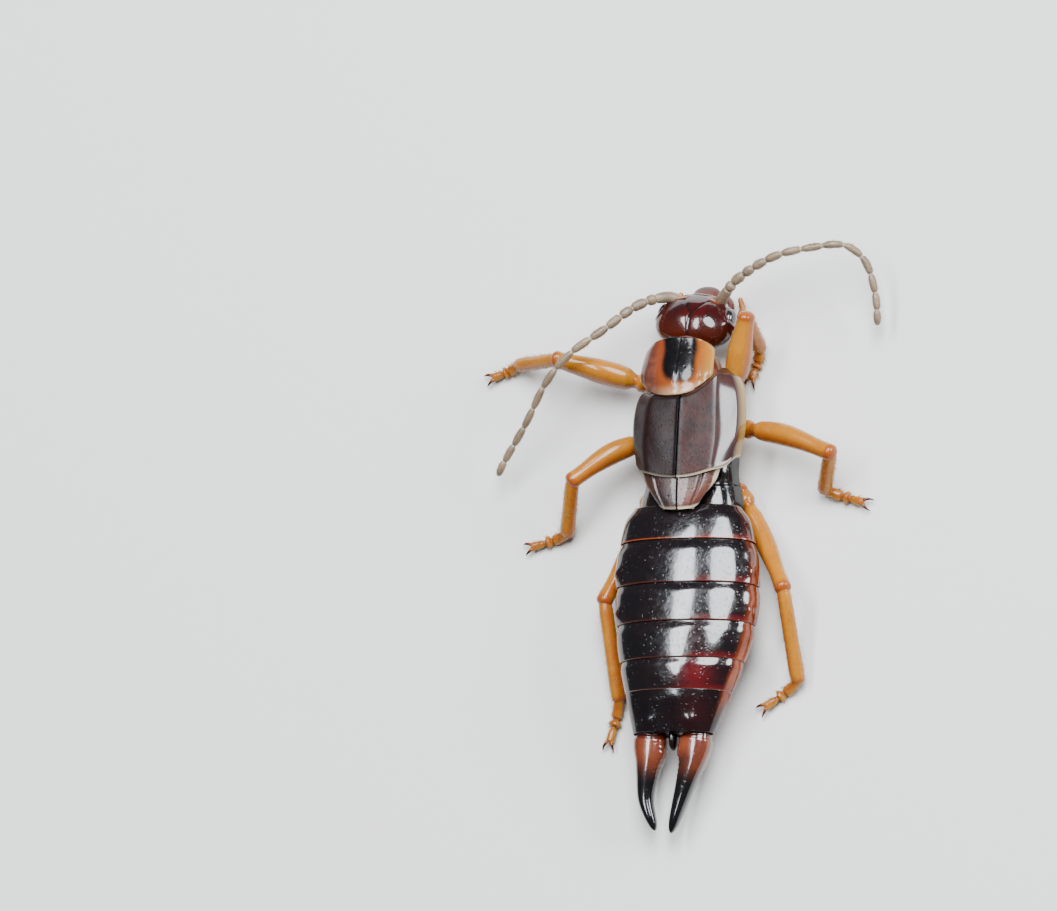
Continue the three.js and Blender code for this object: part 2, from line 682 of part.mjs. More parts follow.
function tarsusForm(ankle, clawEnd) {
  const bend = ankle.clone().lerp(clawEnd, TARSUS.bend).setZ(TARSUS.height);
  const forward = clawEnd.clone().sub(bend).setZ(0).normalize();
  const sideways = forward.clone().cross(Z);
  const toe = clawEnd.clone().addScaledVector(forward, -CLAW.length);
  const foot = limb({
    curve: curveThrough([ankle.toArray(), bend.toArray(), toe.toArray()]),
    places: TARSUS.places,
    half: TARSUS.half,
    across: Z,
    domes: [0.4, 0.3],
  });
  const claws = [-1, 1].map((side) => {
    const at = (ahead, out, z) =>
      toe.clone().addScaledVector(forward, ahead).addScaledVector(sideways, side * out).setZ(z);
    return limb({
      curve: new THREE.CatmullRomCurve3([
        at(-0.08, 0.25 * CLAW.spread, TARSUS.height),
        at(0.5 * CLAW.length, 0.75 * CLAW.spread, TARSUS.height + 0.03),
        at(CLAW.length, CLAW.spread, CLAW.tipHeight),
      ]),
      places: [0, 0.4, 0.75, 1],
      half: CLAW.half,
      across: Z,
      sides: SIDES.claw,
      domes: [0.2, 0.4],
    });
  });
  return onFloor(joined(foot, ...claws));
}

// Presses what would reach under the floor into a flat at z = 0.
function onFloor(geometry) {
  const places = geometry.attributes.position;
  for (let i = 0; i < places.count; i++) places.setZ(i, Math.max(places.getZ(i), 0));
  return geometry;
}

addHead();
addAntenna("left", -1);
addAntenna("right", 1);
addBody();
Object.keys(LEGS).forEach(addLeg);

const middle = new THREE.Box3().setFromObject(body).getCenter(new THREE.Vector3());
body.position.set(-middle.x, -middle.y, 0);

export default earwig;
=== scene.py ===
"""The looks of a life-size adult female earwig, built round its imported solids.

Lengths are in the animal's own millimetres until a mesh is made: +Y to the head, +X to its right,
z = 0 on the floor, and the wing cases' midline starting at x = 0, y = 0, behind the pronotum.
"""

import math

import bpy
import numpy as np
from bpy.props import FloatProperty, FloatVectorProperty, IntProperty, PointerProperty
from mathutils import Matrix, Vector


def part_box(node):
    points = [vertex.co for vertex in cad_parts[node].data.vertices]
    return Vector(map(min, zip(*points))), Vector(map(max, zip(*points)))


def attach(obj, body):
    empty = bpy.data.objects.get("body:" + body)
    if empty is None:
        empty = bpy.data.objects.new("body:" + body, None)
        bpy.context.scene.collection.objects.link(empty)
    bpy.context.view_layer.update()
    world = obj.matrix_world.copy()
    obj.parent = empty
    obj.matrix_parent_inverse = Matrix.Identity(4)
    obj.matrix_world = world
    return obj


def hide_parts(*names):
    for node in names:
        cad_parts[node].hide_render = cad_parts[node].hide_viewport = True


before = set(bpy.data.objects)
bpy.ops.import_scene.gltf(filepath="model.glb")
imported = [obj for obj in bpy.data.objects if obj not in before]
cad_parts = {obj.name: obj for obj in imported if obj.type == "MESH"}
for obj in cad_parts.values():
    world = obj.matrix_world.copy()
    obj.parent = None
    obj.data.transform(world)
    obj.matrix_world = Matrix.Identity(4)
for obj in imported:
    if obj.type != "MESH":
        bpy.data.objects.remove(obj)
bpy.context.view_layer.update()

bl_info = {
    "name": "Earwig",
    "version": (1, 0, 0),
    "blender": (4, 5, 0),
    "location": "3D View > Sidebar > Earwig",
    "description": "Builds a life-size adult earwig round its solids",
    "category": "Add Mesh",
}

MM = 0.001  # A millimetre in Blender's metres.
SIDES = {"left": -1, "right": 1}
X, Z = np.array([1.0, 0, 0]), np.array([0, 0, 1.0])
SEED = 7  # Start of the bristles' random draws.
DOME_ROWS = 6  # Rings in each rounded end of a limb.
CHITIN_IOR = 1.56
LIGHT_REACH = (1.0, 0.42, 0.16)  # How far red, green and blue light go in thin shell, as shares
LIGHT_DEPTH = 0.25 * MM  # of this depth.


def through(*keys):
    """A smooth value through (place, value) keys, level beyond them.

    Each stretch is a cubic whose end slopes are the slopes between its neighbours. The values may be
    numbers or points.
    """
    keys = sorted(keys, key=lambda key: key[0])
    places = np.array([key[0] for key in keys], float)
    values = np.array([key[1] for key in keys], float).reshape(len(keys), -1)
    last = len(keys) - 1
    before, after = np.maximum(np.arange(last + 1) - 1, 0), np.minimum(np.arange(last + 1) + 1, last)
    slopes = (values[after] - values[before]) / (places[after] - places[before])[:, None]

    def value(place):
        place = np.clip(np.asarray(place, float), places[0], places[-1])
        i = np.clip(np.searchsorted(places, place, side="right") - 1, 0, last - 1)
        span = (places[i + 1] - places[i])[..., None]
        t = (place - places[i])[..., None] / span
        found = (
            values[i] * (1 + 2 * t) * (1 - t) ** 2
            + slopes[i] * span * t * (1 - t) ** 2
            + values[i + 1] * t**2 * (3 - 2 * t)
            - slopes[i + 1] * span * t**2 * (1 - t)
        )
        return found if found.shape[-1] > 1 else found[..., 0]

    return value


# Sizes of the animal, in millimetres.
HEAD = {
    "at": np.array([-0.16, 1.68, 1.34]),
    "pitch": 26,
    "yaw": 7,
    "length": 1.7,
    "half_width": through((0, 0.66), (0.2, 0.96), (0.6, 1.12), (1.02, 1.04), (1.36, 0.78), (1.7, 0.46)),
    "above": through((0, 0.33), (0.45, 0.55), (0.95, 0.57), (1.3, 0.44), (1.7, 0.22)),
    "below": through((0, 0.38), (0.45, 0.54), (1.0, 0.5), (1.7, 0.2)),
    "power": 2.25,
}
SOCKET = np.array([0.5, 1.34, 0.08])
EYE = {"at": np.array([0.95, 0.9, 0.1]), "half": np.array([0.18, 0.29, 0.25])}
PRONOTUM = {"x": -0.3, "half_width": 1.04, "length": 1.7, "top": 2.3, "slope": 0.22, "bow": 0.42}
DISC = {"x": -0.18, "y": 1.12, "half_width": 0.5, "half_length": 0.8, "rise": 0.035}
WING_CASE = {
    "length": 2.32,
    "half_width": through((0, 1.12), (0.1, 1.38), (0.35, 1.56), (0.7, 1.6), (1, 1.48)),
    "lean": 0.06,
    "sweep": 0.2,
    "top": 2.34,
    "arch": 0.1,
}
WING_TIP = {
    "end": -3.16,
    "half_width": through((0, 1.16), (0.5, 1.0), (1, 0.66)),
    "sweep": 0.24,
    "top": 2.27,
    "fall": 0.26,
    "rise": 0.06,
}
THORAX = {
    "side": 1.08,
    "middle": through((-2.9, 0.06), (-0.1, 0.06), (0.1, -0.02), (1, -0.16), (2.1, -0.16)),
    "half_width": through(
        (-2.9, 1.1), (-2, 1.06), (-0.6, 1.0), (0, 0.84), (0.7, 0.94), (1.3, 0.8), (1.62, 0.52), (2.1, 0.42)
    ),
    "top": through((-2.9, 1.5), (-1, 1.68), (0, 1.7), (0.9, 1.8), (1.4, 1.7), (2.1, 1.45)),
    "bottom": through((-2.9, 0.62), (-1.4, 0.48), (0, 0.54), (0.9, 0.54), (1.5, 0.78), (2.1, 1.0)),
}
ABDOMEN = {
    "start": -2.95,
    "margins": [-3.94, -5.17, -6.23, -7.24, -8.08, -9.16],
    "middle": through((-3, 0.06), (-4.5, 0.14), (-5.8, 0.2), (-7, 0.14), (-8, 0.05), (-9.22, -0.08)),
    "half_width": through(
        (-2.95, 1.54), (-3.4, 1.78), (-4.6, 2.0), (-5.8, 2.0), (-6.9, 1.84), (-7.8, 1.58), (-9.22, 1.12)
    ),
    "top": through(
        (-2.95, 1.86), (-3.42, 1.98), (-3.94, 2.08), (-5.17, 2.18), (-6.23, 2.2), (-7.24, 2.14),
        (-8.08, 1.98), (-9.22, 1.64),
    ),
    "side": through((-2.95, 1.3), (-6, 1.34), (-8, 1.24), (-9.22, 1.12)),
    "bottom": through((-2.95, 0.62), (-4.2, 0.46), (-6.2, 0.4), (-8, 0.5), (-9.22, 0.72)),
    "power": 2.25,
}
LAST_RING = len(ABDOMEN["margins"]) - 1
RING_RELIEF = {0: 0.6, LAST_RING: 0.3}  # These rings' edges stand out less than the others'.
FORCEPS = {
    "right": [
        (0.55, -9.2, 1.06), (0.47, -9.8, 1.0), (0.36, -10.2, 0.96),
        (0.12, -10.96, 0.87), (-0.13, -11.82, 0.82),
    ],
    "left": [
        (-0.74, -9.2, 1.06), (-0.78, -9.8, 1.0), (-0.82, -10.2, 0.96),
        (-0.85, -10.92, 0.87), (-0.58, -11.74, 0.82),
    ],
    "half_width": through(
        (0, 0.46), (0.14, 0.44), (0.3, 0.34), (0.5, 0.26), (0.7, 0.2), (0.9, 0.13), (1, 0.05)
    ),
    "half_height": through((0, 0.37), (0.2, 0.35), (0.5, 0.28), (0.85, 0.19), (1, 0.07)),
}
FEELER = {
    "beads": np.array([11, 3.5, 6, 5, 6, 7, 8, 8.5, 8.5, 8.5, 8, 7.5, 7, 5.5]) / 100,
    "left": [
        (-0.9, 3.05, 1.2), (-1.6, 2.72, 1.62), (-2.42, 1.98, 1.95), (-3.32, 1.3, 2.06),
        (-4.03, 0.6, 1.82), (-4.75, -0.42, 1.3), (-5.5, -1.41, 0.85), (-5.66, -1.66, 0.72),
    ],
    "right": [
        (0.74, 3.02, 1.2), (1.24, 3.4, 1.56), (2.32, 3.91, 1.8), (3.34, 4.15, 1.7),
        (4.21, 4.23, 1.5), (4.73, 3.82, 1.2), (4.96, 2.96, 0.9), (4.99, 2.23, 0.7),
    ],
}
# Legs: hip in the body, end of the coxa, knee, ankle, and the end of the claws.
LEGS = {
    "front_left": [
        (-0.6, 0.72, 0.74), (-1.42, 0.7, 0.78), (-3.98, 1.39, 1.24),
        (-5.4, 1.52, 0.32), (-6.42, 1.15, 0.19),
    ],
    "front_right": [
        (0.2, 0.66, 0.74), (1.04, 0.46, 0.8), (1.6, 2.24, 1.78),
        (1.55, 1.75, 0.32), (1.22, 0.68, 0.19),
    ],
    "mid_left": [
        (-0.6, -0.7, 0.72), (-1.3, -0.8, 0.7), (-3.22, -2.12, 1.56),
        (-3.72, -3.3, 0.32), (-5.01, -3.67, 0.19),
    ],
    "mid_right": [
        (0.6, -0.62, 0.72), (1.3, -0.6, 0.74), (4.08, -1.56, 1.5),
        (3.59, -2.28, 0.32), (4.88, -2.7, 0.19),
    ],
    "hind_left": [
        (-0.6, -2.2, 0.7), (-1.28, -2.34, 0.52), (-2.3, -5.37, 1.0),
        (-1.98, -7.97, 0.32), (-2.28, -9.36, 0.19),
    ],
    "hind_right": [
        (0.6, -2.2, 0.7), (1.3, -2.34, 0.5), (2.84, -5.2, 1.24),
        (3.09, -7.57, 0.32), (1.96, -8.38, 0.19),
    ],
}
FEMUR = {
    "front": {"half": 0.33, "deep": 1.2, "bow": (0, 0, 0.05)},
    "mid": {"half": 0.3, "deep": 1.0, "bow": (0, 0.12, 0.12)},
    "hind": {"half": 0.28, "deep": 1.0, "bow": (0, 0, -0.22)},
}
CLAW_LENGTH = 0.3
BRISTLE_RADIUS = 0.006
SHORT_BRISTLE = 0.6  # Length of a feeler's or femur's bristle, as a share of the others'.
BRISTLES = {"feeler": 520, "femur": 60}  # How many each of these carries.


def frame_shift():
    """Where the animal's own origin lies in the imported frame, worked out from the pronotum's box."""
    low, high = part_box("pronotum")
    return np.array([(low.x + high.x) / 2 / MM - PRONOTUM["x"], low.y / MM, 0])


SHIFT = frame_shift()


def length(name, description, value, least, most):
    """A length property, whose default and limits are given in millimetres."""
    return FloatProperty(
        name=name, description=description, default=value * MM, min=least * MM, max=most * MM,
        unit="LENGTH", precision=6,
    )


def colour(name, description, value):
    """A colour property of the animal's shell."""
    return FloatVectorProperty(
        name=name, description=description, default=value, size=3, min=0.0, max=1.0, subtype="COLOR"
    )


class EarwigSizes(bpy.types.PropertyGroup):
    """Real thicknesses that the solids only round up"""

    shell: length("Shell", "Thickness of the pronotum and the wing cases", 0.09, 0.02, 0.3)
    ring_step: length("Ring step", "Height of each ring's rear edge over the next ring", 0.055, 0.0, 0.2)
    tibia: length("Tibia", "Thickness of a tibia at its widest", 0.42, 0.2, 0.6)
    tarsus: length("Tarsus", "Thickness of a foot's joints", 0.29, 0.15, 0.4)
    feeler_root: length("Feeler root", "Thickness of a feeler's first bead", 0.34, 0.1, 0.5)
    feeler_tip: length("Feeler tip", "Thickness of a feeler's last beads", 0.21, 0.1, 0.4)
    bristle: length("Bristle", "Length of a bristle on the legs and feelers", 0.13, 0.0, 0.4)
    bristles: IntProperty(
        name="Bristles a leg", description="How many bristles each tibia and foot carries", default=150,
        min=0, max=600,
    )


class EarwigColours(bpy.types.PropertyGroup):
    """The colours of the shell, skin and feelers"""

    black: colour("Black shell", "The abdomen's rings and the pronotum's disc", (0.0028, 0.0022, 0.0026))
    maroon: colour("Maroon shell", "The head, and where black shell turns thin", (0.036, 0.0018, 0.0014))
    garnet: colour("Garnet shell", "The red blotch on the rear rings", (0.075, 0.003, 0.004))
    chestnut: colour("Chestnut shell", "The forceps and the flanks of the rings", (0.21, 0.036, 0.006))
    amber: colour("Amber shell", "The legs and the pronotum's edges", (0.34, 0.13, 0.008))
    umber: colour("Umber shell", "The wing cases", (0.012, 0.0062, 0.006))
    russet: colour("Russet shell", "The folded wings' tips", (0.11, 0.034, 0.02))
    cream: colour("Cream edge", "Thin edges of the wings and plates", (0.42, 0.35, 0.24))
    straw: colour("Straw skin", "Soft skin between the plates", (0.24, 0.14, 0.035))
    dun: colour("Dun feeler", "The feelers' beads", (0.2, 0.135, 0.08))


class EarwigStage(bpy.types.PropertyGroup):
    """Floor, lights and camera"""

    floor: colour("Floor", "Colour of the floor", (0.62, 0.6, 0.57))
    key: FloatProperty(
        name="Key light", description="Power from which the three soft lights take their shares",
        default=0.9, min=0.0, unit="POWER",
    )
    lens: FloatProperty(
        name="Lens", description="Focal length of the camera in millimetres", default=300.0, min=50.0,
        unit="CAMERA",
    )


# Surfaces. A surface is (points, faces, values): points (n, 3), a list of face arrays, and named
# values for each point.
def oval(count, power):
    """Cosine and sine round a squared circle: each one's size raised to 2 over the power, sign kept."""
    angle = np.linspace(0, 2 * math.pi, count, endpoint=False)
    c, s = np.cos(angle), np.sin(angle)
    return np.sign(c) * np.abs(c) ** (2 / power), np.sign(s) * np.abs(s) ** (2 / power)


def eased(count, start=-1):
    """Places from start to 1 that crowd towards -1 and 1: the sine of even steps of a right angle."""
    return np.sin(np.linspace(start, 1, count) * math.pi / 2)


def shares(count):
    """Places from 0 to 1 that crowd towards both."""
    return (eased(count) + 1) / 2


def closing(place, power, root=0.5, least=1e-4):
    """An end that rounds off: 1 less the place to a power, raised to a root, and never quite 0."""
    return np.clip(1 - np.abs(place) ** power, least, 1) ** root


def grid_of(x, y, z):
    """A grid of points from coordinates that vary along its rows, its columns or both."""
    return np.stack(np.broadcast_arrays(x, y, z), -1)


def unit(vectors):
    """Vectors divided by their lengths."""
    return vectors / np.linalg.norm(vectors, axis=-1, keepdims=True)


def smooth(low, high, value):
    """0 below low and 1 above high, with level ends: 3t squared less 2t cubed."""
    t = np.clip((value - low) / (high - low), 0, 1)
    return t * t * (3 - 2 * t)


def bump(distance, width):
    """A bell of height 1: e to the minus square of distance over width."""
    return np.exp(-((distance / width) ** 2))


def outward(points, faces):
    """Turns all the faces of a closed form if its signed volume says that they point in."""
    volume = 0.0
    for face in faces:
        a = points[face[:, 0]]
        for k in range(1, face.shape[1] - 1):
            b, c = points[face[:, k]], points[face[:, k + 1]]
            volume += np.einsum("ij,ij->", a, np.cross(b, c))
    return faces if volume > 0 else [face[:, ::-1] for face in faces]


def tube(grid, **values):
    """A closed form from a grid whose rows are rings: quads between rings, a fan of triangles at each end."""
    rows, columns = grid.shape[:2]
    r, c = np.meshgrid(np.arange(rows - 1), np.arange(columns), indexing="ij")
    a, b = r * columns + c, r * columns + (c + 1) % columns
    quads = np.stack([a, b, b + columns, a + columns], -1).reshape(-1, 4)
    ring = np.arange(columns)
    first, last = rows * columns, rows * columns + 1
    start = np.stack([np.full(columns, first), (ring + 1) % columns, ring], -1)
    base = (rows - 1) * columns
    end = np.stack([np.full(columns, last), base + ring, base + (ring + 1) % columns], -1)
    points = np.vstack([grid.reshape(-1, 3), grid[0].mean(0), grid[-1].mean(0)])
    kept = {}
    for name, value in values.items():
        full = np.broadcast_to(value, (rows, columns))
        kept[name] = np.r_[full.ravel(), full[0].mean(), full[-1].mean()]
    return points, outward(points, [quads, np.vstack([start, end])]), kept


def plate(outer, thick, round_off=10, **values):
    """A thin closed plate under a grid of points.

    The inner face lies along the outer face's normal by the thickness times the square root of
    (1 - s^n)(1 - r^n), where s and r run from -1 to 1 over the grid, so both faces meet at the edge.
    """
    rows, columns = outer.shape[:2]
    normal = unit(np.cross(np.gradient(outer, axis=1), np.gradient(outer, axis=0)))
    normal *= np.sign(normal[rows // 2, columns // 2, 2])
    s = np.linspace(-1, 1, columns)[None, :]
    r = np.linspace(-1, 1, rows)[:, None]
    depth = thick * np.sqrt(np.clip((1 - s**round_off) * (1 - r**round_off), 0, 1))
    inner = outer - normal * depth[..., None]
    number = np.arange(rows * columns).reshape(rows, columns)
    under = number + rows * columns
    edge = np.ones((rows, columns), bool)
    edge[1:-1, 1:-1] = False
    under[edge] = number[edge]

    def quads(n):
        return np.stack([n[:-1, :-1], n[:-1, 1:], n[1:, 1:], n[1:, :-1]], -1).reshape(-1, 4)

    points = np.vstack([outer.reshape(-1, 3), inner.reshape(-1, 3)])
    faces = np.vstack([quads(number), quads(under)[:, ::-1]])
    kept = {k: np.tile(np.broadcast_to(v, (rows, columns)).ravel(), 2) for k, v in values.items()}
    used, place = np.unique(faces, return_inverse=True)
    faces = place.reshape(faces.shape)
    points = points[used]
    return points, outward(points, [faces]), {k: v[used] for k, v in kept.items()}


def merged(*surfaces):
    """Several surfaces as one, with 0 for a value that one of them lacks."""
    names = sorted({name for surface in surfaces for name in surface[2]})
    points, faces, start = [], [], 0
    values = {name: [] for name in names}
    for at, face_sets, kept in surfaces:
        points.append(at)
        faces += [face + start for face in face_sets]
        for name in names:
            values[name].append(kept.get(name, np.zeros(len(at))))
        start += len(at)
    return np.vstack(points), faces, {name: np.concatenate(value) for name, value in values.items()}


def rounded_path(path, half, domes):
    """Adds a dome at each end of a path: steps out along a quarter circle while the half size shrinks.

    domes gives how far each one stands out, in half sizes. The last step stops just short of the pole.
    """
    heading = unit(np.gradient(path, axis=0))
    turn = np.linspace(0, math.pi / 2, DOME_ROWS + 1)[1:]
    turn[-1] *= 0.985
    out, shrink = np.sin(turn)[:, None], np.cos(turn)
    start = (path[0] - heading[0] * half[0] * domes[0] * out)[::-1]
    end = path[-1] + heading[-1] * half[-1] * domes[1] * out
    path = np.vstack([start, path, end])
    heading = np.pad(heading, ((DOME_ROWS, DOME_ROWS), (0, 0)), mode="edge")
    half = np.r_[(half[0] * shrink)[::-1], half, half[-1] * shrink]
    return path, heading, half


def carried(path, half, across, deep=1.0, sides=28, domes=(0.7, 0.7), **values):
    """A limb: an ellipse carried square to a path, half its size at each row, with domed ends.

    deep is its height over its width, and across the direction that its width lies along. The value
    edge marks its two narrow sides.
    """
    path, heading, half = rounded_path(path, half, domes)
    flat = unit(across - (heading @ across)[:, None] * heading)
    up = np.cross(heading, flat)
    c, s = oval(sides, 2.0)
    grid = path[:, None] + half[:, None, None] * (
        c[None, :, None] * flat[:, None] + deep * s[None, :, None] * up[:, None]
    )
    kept = {name: np.pad(value, DOME_ROWS, mode="edge")[:, None] for name, value in values.items()}
    # edge marks the narrow sides, which the legs' finish paints darker: painted shade at the sides of the
    # round limb.
    return tube(grid, edge=smooth(0.72, 1.0, np.abs(c))[None, :], **kept)


def route(points, count, side=1):
    """A smooth path of count even steps through points, mirrored in x where the side is -1.

    The curve is set out by the square root of the distance between the points.
    """
    points = np.array(points, float) * (side, 1, 1)
    chord = np.sqrt(np.linalg.norm(np.diff(points, axis=0), axis=1))
    place = np.r_[0, np.cumsum(chord)]
    curve = through(*zip(place, points))
    steps = 40 * len(points)
    fine = curve(np.linspace(0, place[-1], steps))
    length = np.r_[0, np.cumsum(np.linalg.norm(np.diff(fine, axis=0), axis=1))]
    even = np.linspace(0, length[-1], count)
    return np.stack([np.interp(even, length, fine[:, k]) for k in range(3)], -1)


def bristle_set(roots, directions, lengths):
    """Bristles: three-sided spikes, each with a base of the bristle's radius round its root and one tip."""
    directions = unit(directions)
    aside = np.array([0.3, 0.5, 0.9])
    side = unit(np.cross(directions, directions + aside))
    other = np.cross(directions, side)
    corners = []
    for turn in (0, 2 * math.pi / 3, 4 * math.pi / 3):
        corners.append(roots + BRISTLE_RADIUS * (math.cos(turn) * side + math.sin(turn) * other))
    tips = roots + directions * lengths[:, None]
    points = np.stack([*corners, tips], 1).reshape(-1, 3)
    start = 4 * np.arange(len(roots))[:, None]
    pattern = np.array([[0, 1, 3], [1, 2, 3], [2, 0, 3], [0, 2, 1]])
    faces = (start[:, None] + pattern[None]).reshape(-1, 3)
    return points, outward(points, [faces]), {"bristle": np.ones(len(points))}


def bristles_on(path, half, share, count, length, lean, seed):
    """Bristles scattered round a path: seeded places along it and round it, leaning towards its end.

    share gives the stretch of the path that carries them. Their roots sink a little into the limb.
    """
    draw = np.random.default_rng(seed)
    row = draw.integers(int(share[0] * (len(path) - 1)), int(share[1] * (len(path) - 1)) + 1, count)
    heading = unit(np.gradient(path, axis=0))[row]
    turn = draw.uniform(0, 2 * math.pi, count)[:, None]
    side = unit(np.cross(heading, Z))
    out = np.cos(turn) * side + np.sin(turn) * np.cross(side, heading)
    lengths = length * draw.uniform(0.6, 1.3, count)
    roots = path[row] + out * (half[row] * 0.97)[:, None]
    return bristle_set(roots, out + lean * heading, lengths)


def piece(name, surface, finish, slot, *nodes):
    """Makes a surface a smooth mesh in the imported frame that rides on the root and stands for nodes.

    The surface's values become attributes that its finish reads.
    """
    points, faces, values = surface
    mesh = bpy.data.meshes.new(name)
    corners = np.concatenate([face.ravel() for face in faces])
    sizes = np.concatenate([np.full(len(face), face.shape[1]) for face in faces])
    mesh.vertices.add(len(points))
    mesh.vertices.foreach_set("co", ((points + SHIFT) * MM).astype(np.float32).ravel())
    mesh.loops.add(len(corners))
    mesh.loops.foreach_set("vertex_index", corners.astype(np.int32))
    mesh.polygons.add(len(sizes))
    mesh.polygons.foreach_set("loop_start", np.r_[0, np.cumsum(sizes)[:-1]].astype(np.int32))
    mesh.polygons.foreach_set("use_smooth", np.ones(len(sizes), bool))
    mesh.update(calc_edges=True)
    mesh.validate()
    for key, value in values.items():
        mesh.attributes.new(key, "FLOAT", "POINT").data.foreach_set("value", value.astype(np.float32))
    made = bpy.data.objects.new(name, mesh)
    bpy.context.scene.collection.objects.link(made)
    mesh.materials.append(shell(finish))
    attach(made, "root")
    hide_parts(*nodes)


# Materials.
def add(tree, kind, inputs=None, **settings):
    """Adds a node with its settings, and gives each input a value or a link from a socket.

    A colour may be given as three numbers.
    """
    node = tree.nodes.new(kind)
    for key, value in settings.items():
        setattr(node, key, value)
    for key, value in (inputs or {}).items():
        socket = node.inputs[key]
        if isinstance(value, bpy.types.NodeSocket):
            tree.links.new(value, socket)
        elif socket.type == "RGBA":
            socket.default_value = (*value[:3], 1.0)
        else:
            socket.default_value = value
    return node


def mixed(tree, factor, first, second):
    """The colour between two, by a factor."""
    return add(tree, "ShaderNodeMix", {0: factor, 6: first, 7: second}, data_type="RGBA").outputs[2]


def math_node(tree, operation, first, second, clamp=False):
    """The result of one Math node."""
    inputs = {0: first, 1: second}
    return add(tree, "ShaderNodeMath", inputs, operation=operation, use_clamp=clamp).outputs[0]


def times(tree, first, second):
    """The product of two values."""
    return math_node(tree, "MULTIPLY", first, second)


def mask(tree, name):
    """A piece's own value at a point, such as how near the point is to an edge."""
    return add(tree, "ShaderNodeAttribute", attribute_name=name).outputs["Fac"]


def place_of(tree):
    """A point's place in the animal's own frame."""
    return add(tree, "ShaderNodeTexCoord").outputs["Object"]


def noise(tree, scale, detail, roughness=0.5):
    """Noise over a point's place: clouds of the scale, with finer ones added by the detail."""
    inputs = {"Vector": place_of(tree), "Scale": scale, "Detail": detail, "Roughness": roughness}
    return add(tree, "ShaderNodeTexNoise", inputs).outputs["Fac"]


def stretched(tree, value, low, high, to_low=0.0, to_high=1.0, **settings):
    """Carries a value's range from low to high to another range, and holds it there beyond."""
    inputs = {"Value": value, "From Min": low, "From Max": high, "To Min": to_low, "To Max": to_high}
    return add(tree, "ShaderNodeMapRange", inputs, **settings).outputs["Result"]


def raised(tree, height, depth, strength=1.0):
    """The normal of a height whose full range stands for a depth in millimetres."""
    inputs = {"Height": height, "Distance": depth * MM, "Strength": strength}
    return add(tree, "ShaderNodeBump", inputs).outputs["Normal"]


def mottled(tree, given):
    """Cloudy tone: noise between two colours, its middle stretched to reach the amount."""
    cloud = stretched(tree, noise(tree, given["Scale"], 4.0, 0.6), 0.35, 0.65, to_high=given["Amount"])
    return mixed(tree, cloud, given["Colour"], given["Shade"])


def pitted(tree, given):
    """Fine pits: round dips at the cells of a Voronoi pattern over a low swell of noise."""
    cells = add(tree, "ShaderNodeTexVoronoi", {"Vector": place_of(tree), "Scale": given["Scale"]})
    size = given["Size"]
    dip = stretched(tree, cells.outputs["Distance"], 0.05, size, interpolation_type="SMOOTHSTEP")
    swell = noise(tree, times(tree, given["Scale"], 0.35), 3.0)
    return math_node(tree, "ADD", dip, times(tree, swell, given["Swell"]))


def uneven(tree, given):
    """Uneven gloss: noise that wanders between a low and a high roughness."""
    return stretched(tree, noise(tree, given["Scale"], 5.0, 0.7), 0.3, 0.7, given["Low"], given["High"])


# The effects that the materials share: what builds each, its output, and its inputs' defaults.
EFFECTS = {
    "Chitin mottle": (
        mottled, ("Colour", "NodeSocketColor"),
        {"Colour": (0.5, 0.5, 0.5, 1.0), "Shade": (0.1, 0.1, 0.1, 1.0), "Scale": 3000.0, "Amount": 0.6},
    ),
    "Chitin pits": (pitted, ("Height", "NodeSocketFloat"), {"Scale": 9000.0, "Size": 0.4, "Swell": 1.0}),
    "Chitin gloss": (
        uneven, ("Roughness", "NodeSocketFloat"), {"Scale": 5000.0, "Low": 0.12, "High": 0.3}
    ),
}


def effect(name):
    """A shared effect's node group, built the first time it is asked for."""
    group = bpy.data.node_groups.get(name)
    if group:
        return group
    build, (output, output_kind), defaults = EFFECTS[name]
    group = bpy.data.node_groups.new(name, "ShaderNodeTree")
    for label, default in defaults.items():
        kind = "NodeSocketColor" if isinstance(default, tuple) else "NodeSocketFloat"
        group.interface.new_socket(label, in_out="INPUT", socket_type=kind).default_value = default
    group.interface.new_socket(output, in_out="OUTPUT", socket_type=output_kind)
    start, end = group.nodes.new("NodeGroupInput"), group.nodes.new("NodeGroupOutput")
    group.links.new(build(group, start.outputs), end.inputs[0])
    return group


def placed(tree, name, **inputs):
    """A shared effect's output in a material, with the material's own values."""
    return add(tree, "ShaderNodeGroup", inputs, node_tree=effect(name)).outputs[0]


def tint(tree, layers):
    """Colour laid on in layers: each covers what is below it by its share times its masks.

    A layer is (paint, share, masks). Its paint is a tone's name, or a cloudy mix of two tones as
    (first, second, scale, amount), where "below" stands for what is below the layer.
    """
    tones = bpy.context.scene.earwig_colours
    below = None
    for paint, share, *masks in layers:
        if isinstance(paint, tuple):
            first, second, scale, amount = paint
            first = below if first == "below" else getattr(tones, first)
            shade = getattr(tones, second)
            paint = placed(tree, "Chitin mottle", Colour=first, Shade=shade, Scale=scale, Amount=amount)
        else:
            paint = getattr(tones, paint)
        for name in masks:
            share = mask(tree, name) if share == 1 else times(tree, share, mask(tree, name))
        below = paint if share == 1 else mixed(tree, share, below, paint)
    return below


def wing_case_coat(tree):
    """Where a wing case is wet: past the turn to its flank, less on the left, turn (1 - 0.85 left)."""
    dry = times(tree, mask(tree, "left"), 0.85)
    return times(tree, mask(tree, "turn"), math_node(tree, "SUBTRACT", 1.0, dry))


def ring_coat(tree):
    """How wet the rings are: 0.9, less 0.4 at the tail and 0.5 on the flanks."""
    dry = math_node(
        tree, "ADD", times(tree, mask(tree, "tail"), 0.4), times(tree, mask(tree, "flank"), 0.5)
    )
    return math_node(tree, "SUBTRACT", 0.9, dry, clamp=True)


